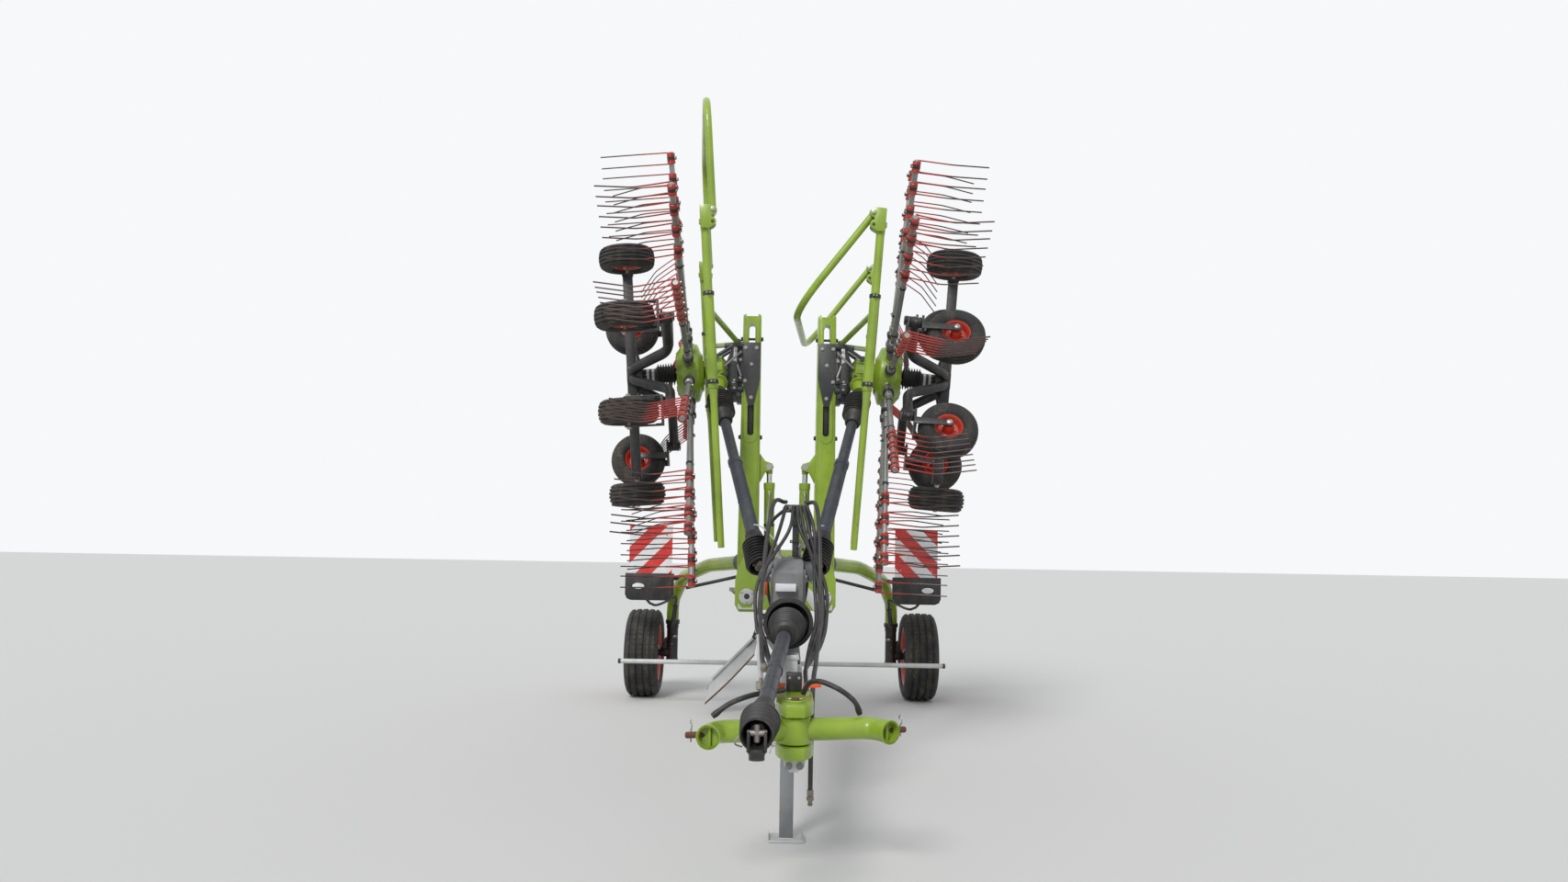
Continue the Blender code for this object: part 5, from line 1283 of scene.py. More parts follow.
def makeSideShaft(word, side):
    look = sideShaft
    low, high = spot(*look["low"]), spot(*look["high"])
    way = (high - low).normalized()
    outer = Piece("sideShaft_" + word + "_lower", "shaft_outer_" + word, "shaft_guard", side)
    outer.put(bootShape(low + way * look["bootStart"], way, look["bootLength"]), "bootPlastic")
    start = low + way * (look["bootStart"] + look["bootLength"] * 0.6)
    length = (low + way * look["outerLength"] - start).length
    rows = [
        (0, 0.0378), (0, 0.0448), (length - 0.045, 0.0448), (length - 0.042, 0.049),
        (length - 0.003, 0.049), (length, 0.047), (length, 0.0378)]
    outer.spun(rows, start, way, 36, "guardPlastic", hollow=True)
    for share in (0.15, 0.5):  # moulding rings on the guard
        along = length * share
        outer.spun(
            [(along, 0.0449), (along + 0.002, 0.0465), (along + 0.01, 0.0465), (along + 0.012, 0.0449)],
            start, way, 32, "guardPlastic")
    yoke = [(-0.02, 0.03), (-0.018, 0.04), (0.03, 0.042), (0.045, 0.034), (0.1, 0.034)]
    outer.toward(yoke, low + way * 0.018, low + way * 1.018, 28, "bareSteel")
    across = Vector((0, 1, 0)).cross(way).normalized()
    for direction in (across, Vector((0, 1, 0))):
        outer.bar(
            low + way * 0.038 - direction * 0.05, low + way * 0.038 + direction * 0.05, 0.014, 18,
            "bareSteel")
    outer.finish("shaft_outer_" + word)
    inner = Piece("sideShaft_" + word + "_upper", "shaft_inner_" + word, "shaft_guard", side)
    end = high - way * 0.022
    inner.put(bootShape(end, -way, look["bootLength"]), "bootPlastic")
    first = low + way * 0.302
    reach = (end - way * 0.12 - first).length
    inner.spun([(0, 0.034), (0.002, 0.0358), (reach, 0.0358)], first, way, 32, "guardPlastic")
    inner.finish("shaft_inner_" + word)


# Lift cylinders
lift = {
    "base": (0.12, 1.235), "eye": (0.13, 2.005), "barrelLength": 0.655,
    "eyeRows": ringRows(0.03, 0.0168, 0.028),
}


def makeLift(word, side):
    look = lift
    base = Vector((look["base"][0], armY, look["base"][1]))
    eye = Vector((look["eye"][0], armY, look["eye"][1]))
    way = (eye - base).normalized()
    top = look["barrelLength"]
    barrel = Piece("liftCylinder_" + word + "_barrel", "lift_barrel_" + word, "green_paint", side)
    rows = [
        (0.018, 0.026), (0.022, 0.034), (0.03, 0.0375), (top - 0.05, 0.0375), (top - 0.048, 0.04),
        (top - 0.03, 0.041), (top - 0.003, 0.041), (top, 0.038), (top, 0.0216), (0.03, 0.0216),
        (0.03, 0.018)]
    barrel.spun(rows, base, way, 40, "limePaint")
    barrel.spun(look["eyeRows"], base, rearward, 32, "limePaint", hollow=True)
    for along in (0.06, top - 0.075):  # oil ports with their elbows
        port = base + way * along
        out = Vector((0, -1, 0))
        barrel.spun([(0.03, 0.013), (0.046, 0.013), (0.048, 0.011)], port, out, 18, "limePaint")
        barrel.spun([(0.046, 0.011), (0.058, 0.011), (0.059, 0.009)], port, out, 6, "boltZinc")
        bend = rounded(
            [
                port + out * 0.055, port + out * 0.078,
                port + out * 0.078 + way * (0.05 if along < 0.2 else -0.05)],
            0.02, 6)
        barrel.pipe(bend, 0.008, 14, "boltZinc")
    first = base + way * (top - 0.075) + Vector((0, -0.078, 0)) - way * 0.045
    last = base + way * 0.06 + Vector((0, -0.078, 0)) + way * 0.05
    pipeLine = smoothLine(
        [
            first, first - way * 0.1 + Vector((0.012, -0.006, 0)),
            last + way * 0.06 + Vector((0.012, -0.006, 0)), last],
        0.05)
    barrel.pipe(pipeLine, 0.0065, 12, "boltZinc")
    for along in (0.17, 0.34):
        spotOn = base + way * along
        barrel.spun(
            [(0, 0.0376), (0.001, 0.0395), (0.017, 0.0395), (0.018, 0.0376)], spotOn, way, 32,
            "satinBlackPaint")
    barrel.finish("lift_barrel_" + word)
    piston = Piece("liftCylinder_" + word + "_rod", "lift_rod_" + word, "rod_chrome", side)
    reach = (eye - base).length
    piston.spun([(0.084, 0.0185), (0.085, 0.0195), (reach - 0.03, 0.0198)], base, way, 32, "polishedRod")
    piston.spun(look["eyeRows"], eye, rearward, 32, "limePaint", hollow=True)
    piston.spun(
        [(reach - 0.052, 0.02), (reach - 0.05, 0.023), (reach - 0.024, 0.025)], base, way, 28, "limePaint")
    piston.finish("lift_rod_" + word)


# Steering knuckles under the arch
knuckle = {"x": 1.0, "top": 0.645, "foot": 0.31}


def makeKnuckle(word, side):
    look = knuckle
    x = look["x"]
    piece = Piece("knuckle_" + word + "_stub", "knuckle_" + word, "black_metal", side)
    length = look["top"] - look["foot"]
    rows = [
        (0.0, 0.0), (0.0, 0.05), (0.004, 0.055), (0.03, 0.055), (0.034, 0.051), (length - 0.034, 0.051),
        (length - 0.03, 0.055), (length - 0.003, 0.055), (length, 0.052), (length, 0.0318),
        (0.0125, 0.0318), (0.0125, 0.0)]
    foot = Vector((x, axleY, look["foot"]))
    piece.spun(rows, foot, upward, 36, "satinBlackPaint")
    spindle = [
        (0.03, 0.042), (0.07, 0.038), (0.1, 0.036), (0.112, 0.03), (0.35, 0.0298), (0.356, 0.027),
        (0.36, 0.024)]
    start = Vector((x, axleY, 0.39))
    piece.spun(spindle, start, outboard, 32, "satinBlackPaint")
    gusset = [(x + 0.045, 0.42), (x + 0.045, 0.52), (x + 0.062, 0.53), (x + 0.105, 0.43), (x + 0.105, 0.42)]
    piece.plate(gusset, axleY - 0.012, axleY + 0.012, "xz", 0.003, "satinBlackPaint")
    arm = [
        (x - 0.05, axleY - 0.03), (x + 0.03, axleY - 0.05), (x - 0.01, axleY - 0.2),
        (x - 0.05, axleY - 0.205), (x - 0.062, axleY - 0.17)]
    piece.plate(arm, 0.535, 0.552, "xy", 0.003, "satinBlackPaint")
    pin = Vector((x - 0.035, axleY - 0.18, 0.552))
    piece.bolts([pin], upward, 0.014)
    brake = [(0.118, 0.03), (0.118, 0.048), (0.122, 0.052), (0.128, 0.052), (0.13, 0.048), (0.13, 0.03)]
    piece.spun(brake, start, outboard, 32, "satinBlackPaint", hollow=True)
    nipple = Vector((x, axleY - 0.051, 0.47))
    piece.spun(
        [(0, 0.005), (0.006, 0.005), (0.007, 0.003), (0.013, 0.0035), (0.015, 0.002)], nipple, (0, -1, 0),
        10, "boltZinc")
    return piece.finish("knuckle_" + word)


for word, side in sides.items():
    makeMast(word, side)
    makeRotorMount(word, side)
    makeChassis(word, side)
    makeGuard(word, side)
    makeBow(word, side)
    makeSideShaft(word, side)
    makeLift(word, side)
    makeKnuckle(word, side)
print("arms, guards, shafts and cylinders made")

# Drawbar: a grey box beam, the green fork, the upright plates and the jack's sleeve
drawbar = {
    "half": 0.07,
    "rows": [
        (0.3, 0.6, 0.8), (1.1, 0.68, 0.88), (2.1, 0.84, 1.02), (2.75, 0.96, 1.16), (5.05, 1.14, 1.34),
    ], "forkX": 0.02, "fork": (0.085, -0.09, 0.34), "plates": [(0.58, 0.635), (0.765, 0.82)],
    "plateEdge": 0.357, "plateFoot": 0.985, "plateTop": 1.4, "plateY": 0.125, "plateThick": 0.025,
    "boss": (0.272, 1.08), "base": (0.12, 1.235), "jackStation": 0.77,
}


def beamHeight(station, top):
    rows = drawbar["rows"]
    for (a, lowA, highA), (b, lowB, highB) in zip(rows, rows[1:]):
        if station <= b or (b, lowB, highB) == rows[-1]:
            share = (station - a) / (b - a)
            return (highA + share * (highB - highA)) if top else (lowA + share * (lowB - lowA))


def makeDrawbar():
    look = drawbar
    piece = Piece("drawbar_beam", "frame", "beam_grey")
    low = [(spot(0, s, a).y, a) for s, a, _ in look["rows"]]
    high = [(spot(0, s, b).y, b) for s, _, b in look["rows"]]
    bore = boxed((0, stationY(look["jackStation"]), 0.68), (0.075, 0.075, 1.2), 0)
    piece.put(
        carved(plated(low + high[::-1], -look["half"], look["half"], "yz", 0.01), [bore]), "lightGreyPaint")
    for station, low, high in look["rows"][1:4]:  # lapped plates welded over the beam's bends
        patch = [
            (stationY(station - 0.13), (low + high) / 2 - 0.03), (stationY(station), low + 0.035),
            (stationY(station + 0.13), (low + high) / 2), (stationY(station + 0.1), high - 0.045),
            (stationY(station - 0.1), high - 0.065)]
        for x in (-1, 1):
            a, b = x * look["half"], x * (look["half"] + 0.006)
            piece.plate(patch, a, b, "yz", 0.0015, "lightGreyPaint")
    half, front, rear = look["fork"]
    x = look["forkX"]
    for number, (a, b) in enumerate(look["plates"]):
        outline = [
            (x - half, stationY(rear)), (x - half, stationY(0.03)), (x - half * 0.86, stationY(-0.03)),
            (x - half * 0.5, stationY(front)), (x + half * 0.5, stationY(front)),
            (x + half * 0.86, stationY(-0.03)), (x + half, stationY(0.03)), (x + half, stationY(rear))]
        piece.plate(outline, a, b, "xy", 0.005, "limePaint")
        outer, way = (b, 1) if number else (a, -1)
        head = [(-0.002, 0.042), (0.008, 0.042), (0.01, 0.039)]
        piece.toward(head, spot(x, 0, outer), spot(x, 0, outer + way), 32, "limePaint")
    web = [(stationY(0.303), 0.63), (stationY(0.36), 0.6), (stationY(0.36), 0.8), (stationY(0.303), 0.77)]
    piece.plate(web, x - half + 0.006, x + half - 0.006, "yz", 0.004, "limePaint")
    pin = [(-0.14, 0.015), (-0.137, 0.02), (0.134, 0.02), (0.14, 0.017)]
    piece.toward(pin, spot(x, 0, look["plates"][0][1] + 0.065), spot(x, 0, 10), 28, "rustySteel")
    clipZ = 0.835
    piece.bar(spot(x - 0.032, 0, clipZ), spot(x + 0.032, 0, clipZ), 0.004, 10, "boltZinc")
    hook = [
        (x - 0.05, 0.58), (x + 0.05, 0.58), (x + 0.045, 0.545), (x + 0.012, 0.52), (x - 0.02, 0.52),
        (x - 0.045, 0.545)]
    piece.plate(hook, stationY(-0.036), stationY(-0.026), "xz", 0.002, "lightGreyPaint")
    for side in (-1, 1):
        piece.toward(
            [(0, 0.016), (0.006, 0.016), (0.007, 0.012)], spot(x + side * 0.025, -0.036, 0.548),
            spot(x + side * 0.025, -5, 0.548), 20, "castGrey")
    # orange stops with the black box between them
    for side in (-1, 1):
        strip = [
            (x + side * 0.045, 0.835), (x + side * 0.13, 0.842), (x + side * 0.128, 0.86),
            (x + side * 0.042, 0.853)]
        piece.plate(strip, stationY(0.3), stationY(0.34), "xz", 0.002, "orangeSheet")
    piece.block(spot(x, 0.33, 0.862), (0.075, 0.07, 0.085), 0.006, "satinBlackPaint")
    for side in (-1, 1):
        piece.bolts([spot(x + side * 0.022, 0.295, 0.885)], (0, -1, 0), 0.006)
    # the two upright plates with the arms' pivots and the cylinders' base pins
    edge, foot, top = look["plateEdge"], look["plateFoot"], look["plateTop"]
    bossX, bossZ = look["boss"]
    baseX, baseZ = look["base"]
    for way in (-1, 1):
        y = armY + way * look["plateY"]
        outline = [
            (-edge + 0.03, foot), (edge - 0.03, foot), (edge, foot + 0.03), (edge, 1.2), (0.335, 1.285),
            (0.28, top), (-0.28, top), (-0.335, 1.285), (-edge, 1.2), (-edge, foot + 0.03)]
        cutters = [rod((0, y - 0.1, 1.29), (0, y + 0.1, 1.29), 0.045, 28, 0)]
        piece.put(
            carved(
                plated(outline, y - look["plateThick"] / 2, y + look["plateThick"] / 2, "xz", 0.004),
                cutters),
            "limePaint")
        face = y + way * look["plateThick"] / 2
        for side in (-1, 1):
            start = Vector((side * bossX, face, bossZ))
            out = start + Vector((0, way, 0))
            flange = [
                (0, 0.052), (0.004, 0.055), (0.012, 0.055), (0.014, 0.05), (0.014, 0.04), (0.02, 0.038),
                (0.02, 0.02)]
            piece.toward(flange, start, out, 36, "lightGreyPaint", hollow=True)
            piece.toward(
                [(0.001, 0.035), (0.016, 0.035), (0.019, 0.031), (0.019, 0.018), (0.012, 0.016)], start,
                out, 28, "darkGreyPaint")
            for turn in around(3, 0.5):
                piece.bolts(
                    [start + Vector((cos(turn) * 0.046, way * 0.014, sin(turn) * 0.046))], (0, way, 0),
                    0.006)
            gusset = [
                (side * 0.2, foot + 0.004), (side * 0.335, foot + 0.004), (side * 0.335, 1.035),
                (side * 0.306, 1.0), (side * 0.235, 1.0), (side * 0.214, 1.1), (side * 0.16, 1.15),
                (side * 0.15, 1.06)]
            piece.plate(gusset, face, face + way * 0.006, "xz", 0.0015, "lightGreyPaint")
            keep = Vector((side * baseX, face, baseZ))
            piece.spun([(0, 0.026), (0.004, 0.026), (0.005, 0.024)], keep, (0, way, 0), 24, "limePaint")
            piece.spun([(0.004, 0.0155), (0.018, 0.0155), (0.02, 0.013)], keep, (0, way, 0), 20, "boltZinc")
            piece.bar(
                keep + Vector((-0.022, way * 0.012, 0)), keep + Vector((0.022, way * 0.012, 0)), 0.003, 8,
                "boltZinc")
    for side in (-1, 1):
        for (px, pz), radius in ((look["boss"], 0.035), (look["base"], 0.015)):
            piece.bar(
                (side * px, armY - 0.1125, pz), (side * px, armY + 0.1125, pz), radius, 28, "bareSteel")
    # the jack's sleeve, clamped through the beam
    y = stationY(look["jackStation"])
    outer = boxed((0, y, 0.68), (0.09, 0.09, 0.52), 0.006)
    inner = boxed((0, y, 0.68), (0.075, 0.075, 0.6), 0)
    piece.put(carved(outer, [inner]), "lightGreyPaint")
    for z in (0.452, 0.925):
        ring = carved(
            boxed((0, y, z), (0.104, 0.104, 0.022), 0.004), [boxed((0, y, z), (0.075, 0.075, 0.1), 0)])
        piece.put(ring, "lightGreyPaint")
    pinZ = 0.475
    piece.bar((-0.075, y, pinZ), (-0.0475, y, pinZ), 0.009, 16, "boltZinc")
    ringLine = [
        (-0.074 - 0.002 * n, y + cos(tau * n / 12) * 0.022, pinZ - 0.02 + sin(tau * n / 12) * 0.022)
        for n in range(10)]
    piece.pipe(ringLine, 0.0025, 8, "boltZinc")
    # the steering rod beside the beam, with its eyes
    start, end = spot(-0.14, 0.36, 0.84), spot(-0.165, 1.34, 1.02)
    piece.bar(start, end, 0.014, 18, "lightGreyPaint")
    for point, foothold in ((start, spot(-0.07, 0.36, 0.75)), (end, spot(-0.07, 1.34, 0.9))):
        piece.spun(
            [(-0.018, 0.012), (-0.016, 0.024), (0.016, 0.024), (0.018, 0.012)], point, upward, 20,
            "boltZinc")
        piece.bar(point - Vector((0, 0, 0.032)), point + Vector((0, 0, 0.034)), 0.01, 14, "boltZinc")
        tab = [
            (foothold.x, foothold.z - 0.035), (foothold.x, foothold.z + 0.03),
            (point.x - 0.022, point.z - 0.02), (point.x - 0.018, point.z - 0.034),
            (point.x + 0.02, point.z - 0.045)]
        piece.plate(tab, point.y - 0.022, point.y + 0.022, "xz", 0.002, "lightGreyPaint")
    # tie rods from the arch in to the beam, and cable clips along the beam
    for side in (-1, 1):
        piece.bar(spot(side * 0.86, 4.86, 1.0), spot(side * 0.07, 4.78, 1.19), 0.015, 16, "satinBlackPaint")
    for station in (0.95, 1.95, 2.45, 3.2, 3.9, 4.5):
        z = beamHeight(station, True)
        piece.block(spot(0.045, station, z + 0.01), (0.034, 0.02, 0.022), 0.003, "satinBlackPaint")
        piece.bolts([spot(0.045, station, z + 0.021)], upward, 0.005)
    piece.block(spot(0, 5.052, (1.14 + 1.34) / 2), (0.15, 0.006, 0.21), 0.002, "lightGreyPaint")
    for side in (-1, 1):
        piece.bar(spot(side * 0.045, 5.05, 1.21), spot(side * 0.045, 5.08, 1.21), 0.022, 24, "redLens")
    return piece.finish("drawbar")


jack = {"leg": 0.07, "top": 0.595, "foot": (0.18, 0.14, 0.012)}


def makeJack():
    look = jack
    y = stationY(drawbar["jackStation"])
    piece = Piece("jack_foot", "jack", "galvanised")
    # the leg takes the darker cast grey as painted shade for the shadow it stands in, though it is light
    # grey like the foot
    piece.block(
        (0, y, (look["top"] + 0.012) / 2), (look["leg"], look["leg"], look["top"] - 0.012), 0.006,
        "castGrey")
    wide, long, thick = look["foot"]
    piece.block((0, y, thick / 2), (wide, long, thick), 0.0025, "lightGreyPaint")
    for way in (-1, 1):
        lip = [
            (way * (wide / 2 - 0.003), 0.011), (way * (wide / 2), 0.011), (way * (wide / 2), 0.026),
            (way * (wide / 2 - 0.003), 0.026)]
        piece.plate(lip, y - long / 2 + 0.004, y + long / 2 - 0.004, "xz", 0.0008, "lightGreyPaint")
        edge = look["leg"] / 2
        for turn in (0, 1):
            shift = edge * way * 0.96
            corner = [(shift, edge), (shift, -edge)] if turn else [(edge, shift), (-edge, shift)]
            piece.pipe([(px, y + py, thick + 0.001) for px, py in corner], 0.004, 8, "lightGreyPaint")
    for z in (0.13, 0.21, 0.29, 0.37):
        for way in (-1, 1):
            start = Vector((way * (look["leg"] / 2 - 0.001), y, z))
            piece.spun(
                [(0, 0.0095), (0.0015, 0.0095), (0.0016, 0.007)], start, (way, 0, 0), 20, "satinBlackPaint")
    return piece.finish("jack_leg")


# Headstock: a bent tube with open mouths, a boss between the fork plates, link pins
headstock = {
    "yaw": 12, "half": 0.36, "elbow": 0.12, "radius": 0.05, "boss": 0.07, "bossHalf": 0.059, "bore": 0.0215,
    "pin": 0.014, "pinEnd": 0.5,
}


def makeHeadstock():
    look = headstock
    joint = spot(drawbar["forkX"], 0, 0.7)
    turn = Matrix.Translation(joint) @ Matrix.Rotation(radians(look["yaw"]), 4, "Z")
    piece = Piece("headstock_tube", "headstock", "green_paint")
    half, elbow, radius = look["half"], look["elbow"], look["radius"]
    corners = [(-half - radius, -elbow, 0), (-half, 0, 0), (half, 0, 0), (half + radius, -elbow, 0)]
    line = rounded([Vector(p) for p in corners], elbow / 2, 8)
    body = tube(line, radius, 36)
    bores = []
    for side in (-1, 1):
        mouth = Vector((side * (half + radius), -elbow, 0))
        inner = mouth.lerp(Vector((side * (half + radius / 2), -elbow / 2, 0)), radius / elbow * 1.5)
        bores.append(rod(inner, mouth + (mouth - inner), radius - 0.007, 32, 0))
    bores.append(rod((0, 0, -0.2), (0, 0, 0.2), look["bore"], 32, 0))
    piece.put(carved(body, bores), "limePaint", turn)
    boss = ringRows(look["bossHalf"], look["bore"], look["boss"], 0.004)
    piece.spun(boss, origin, upward, 36, "limePaint", turn, hollow=True)
    for side in (-1, 1):
        mouth = Vector((side * (half + radius), -elbow, 0))
        way = (mouth - Vector((side * (half + radius / 2), -elbow / 2, 0))).normalized()
        rim = [
            (-0.012, radius + 0.001), (-0.01, radius + 0.004), (-0.001, radius + 0.004),
            (0.0, radius + 0.001), (0.0, radius - 0.006), (-0.012, radius - 0.006)]
        piece.spun(rim, mouth, way, 36, "limePaint", turn, hollow=True)
        piece.bar(
            mouth - way * 0.03 - Vector((0, 0, 0.044)), mouth - way * 0.03 + Vector((0, 0, 0.044)), 0.008,
            14, "limePaint", turn)
        start = Vector((side * half, -elbow / 2, 0))
        pin = [
            (0.012, 0.02), (0.04, 0.02), (0.042, look["pin"]),
            (look["pinEnd"] - half - 0.006, look["pin"]), (look["pinEnd"] - half, look["pin"] - 0.004)]
        piece.spun(pin, start, (side, 0, 0), 24, "rustySteel", turn)
        flange = [(0.034, 0.015), (0.034, 0.026), (0.042, 0.026), (0.042, 0.015)]
        piece.spun(flange, start, (side, 0, 0), 24, "rustySteel", turn, hollow=True)
        hole = start + Vector((side * 0.115, 0, 0))
        piece.bar(hole - Vector((0, 0, 0.03)), hole + Vector((0, 0, 0.026)), 0.004, 10, "boltZinc", turn)
        loop = [
            hole + Vector((0, cos(tau * n / 14) * 0.02, 0.044 + sin(tau * n / 14) * 0.02))
            for n in range(12)]
        piece.pipe(loop, 0.0028, 8, "boltZinc", turn)
        brace = [(side * 0.06, 0.05), (side * 0.19, 0.012), (side * 0.19, -0.012), (side * 0.06, -0.05)]
        piece.plate(brace, -0.006, 0.006, "xy", 0.001, "limePaint", turn)
        eyelet = Vector((side * 0.24, 0.048, 0))
        piece.block(eyelet, (0.008, 0.05, 0.044), 0.002, "limePaint", turn)
    return piece.finish("headstock")


# Centre gearbox with the double-lip bell, and the shaft to the tractor
gearbox = {
    "ends": (1.42, 1.86), "middle": 1.64, "top": 1.4, "shoulder": 1.33, "half": 0.088,
    "core": (0, 1.7, 1.27), "joint": (0.16, 1.7, 1.34),  # the line of a side shaft's neck
    "shaftZ": 1.055, "neckStart": 1.432, "bell": (1.17, 1.33), "yokeStart": 1.235,
    "neckBolts": 6, "boltCircle": 0.072,
    "cupRows": [
        (0.0, 0.131), (0.001, 0.139), (0.006, 0.14), (0.012, 0.138), (0.02, 0.131), (0.04, 0.127),
        (0.056, 0.128), (0.062, 0.137), (0.068, 0.14), (0.074, 0.138), (0.082, 0.128), (0.1, 0.112),
        (0.125, 0.088), (0.145, 0.07), (0.158, 0.062), (0.16, 0.053), (0.11, 0.053), (0.1, 0.06),
        (0.074, 0.108), (0.05, 0.114), (0.0, 0.118),
    ],
}


def makeGearbox():
    look = gearbox
    piece = Piece("gearbox_centre_case", "frame", "beam_grey")
    front, rear = look["ends"]
    top, shoulder, half, shaftZ = look["top"], look["shoulder"], look["half"], look["shaftZ"]
    middle = stationY(look["middle"])
    low = [(stationY(s), beamHeight(s, True) + 0.0006) for s in (front, rear)]
    outline = [
        *low, (stationY(rear), shoulder), (stationY(rear - 0.06), top), (stationY(front + 0.06), top),
        (stationY(front), shoulder)]
    piece.plate(outline, -half, half, "yz", 0.016, "castGrey")
    for side in (-1, 1):
        piece.block((side * 0.09, middle, 1.19), (0.022, 0.36, 0.3), 0.007, "castGrey")
        x, station, z = look["joint"]
        start, end = spot(*look["core"]), spot(side * x, station, z)
        reach = (end - start).length
        neck = [
            (0.06, 0.062), (reach - 0.052, 0.06), (reach - 0.05, 0.066), (reach - 0.034, 0.066),
            (reach - 0.032, 0.058), (reach, 0.058)]
        piece.toward(neck, start, end, 36, "castGrey")
        out = (end - start).normalized()
        across = Vector((0, 1, 0)) * look["boltCircle"]
        lift = out.cross(across)
        for turn in around(look["neckBolts"]):
            piece.bolts([start + out * (reach - 0.05) + across * cos(turn) + lift * sin(turn)], -out, 0.007)
        piece.toward(
            [(reach - 0.054, 0.06), (reach - 0.054, 0.08), (reach - 0.046, 0.08), (reach - 0.046, 0.06)],
            start, end, 36, "castGrey")
        for station in (1.48, 1.8):
            for z in (1.08, 1.3):
                piece.bolts([spot(side * 0.101, station, z)], (side, 0, 0), 0.009)
        foot = (side * 0.092, middle, beamHeight(look["middle"], True) + 0.03)
        lean = Matrix.Rotation(radians(8.5), 4, "X")  # along the beam
        piece.put(boxed(foot, (0.036, 0.42, 0.026), 0.004, lean), "castGrey")
        for station in (1.47, 1.81):
            piece.bolts([spot(side * 0.094, station, beamHeight(station, True) + 0.044)], upward, 0.011)
    lid = spot(0, look["middle"], top)
    piece.spun([(-0.004, 0.07), (0.006, 0.07), (0.008, 0.066)], lid, upward, 32, "castGrey")
    plug = lid + Vector((-0.05, -0.08, 0))
    piece.spun(
        [(0, 0.016), (0.008, 0.016), (0.0082, 0.012), (0.018, 0.012), (0.02, 0.009)], plug, upward, 6,
        "boltZinc")
    neck = spot(0, look["neckStart"], shaftZ)
    rows = [(0.0, 0.075), (0.012, 0.075), (0.014, 0.056), (0.1, 0.052), (0.182, 0.051)]
    piece.spun(rows, neck, (0, -1, 0), 36, "castGrey")
    for turn in around(look["neckBolts"]):
        piece.bolts([neck + Vector((cos(turn) * 0.066, -0.012, sin(turn) * 0.066))], (0, -1, 0), 0.007)
    mouth, back = (spot(0, station, shaftZ) for station in look["bell"])
    piece.toward(look["cupRows"], mouth, back, 48, "bootPlastic", hollow=True)
    yoke = [(0.03, 0.03), (0.034, 0.04), (0.11, 0.04), (0.12, 0.046), (0.15, 0.046)]
    piece.spun(yoke, spot(0, look["yokeStart"], shaftZ), rearward, 24, "bareSteel")
    # curved light-grey wings over the side shafts' joints, and the small white box
    for side in (-1, 1):
        arc = [(side * (0.045 + 0.165 * n / 8), 1.455 + 0.145 * sin(n / 8 * pi / 2)) for n in range(9)]
        back = [(x + side * 0.003, z - 0.005) for x, z in arc[::-1]]
        piece.plate(arc + back, stationY(1.6), stationY(1.76), "xz", 0, "lightGreyPaint")
        piece.plate(
            [(side * 0.04, 1.395), (side * 0.075, 1.395), (side * 0.088, 1.495), (side * 0.048, 1.462)],
            stationY(1.7), stationY(1.706), "xz", 0.001, "lightGreyPaint")
    piece.block(spot(-0.015, 1.4, 1.24), (0.12, 0.05, 0.045), 0.005, "whiteLens")
    piece.block(spot(-0.13, 1.44, 1.23), (0.018, 0.05, 0.075), 0.004, "orangeSheet")
    return piece.finish("gearbox_centre")


drive = {"front": (-0.143, -0.72, 0.809), "rear": (0.0, 1.25, 1.055)}


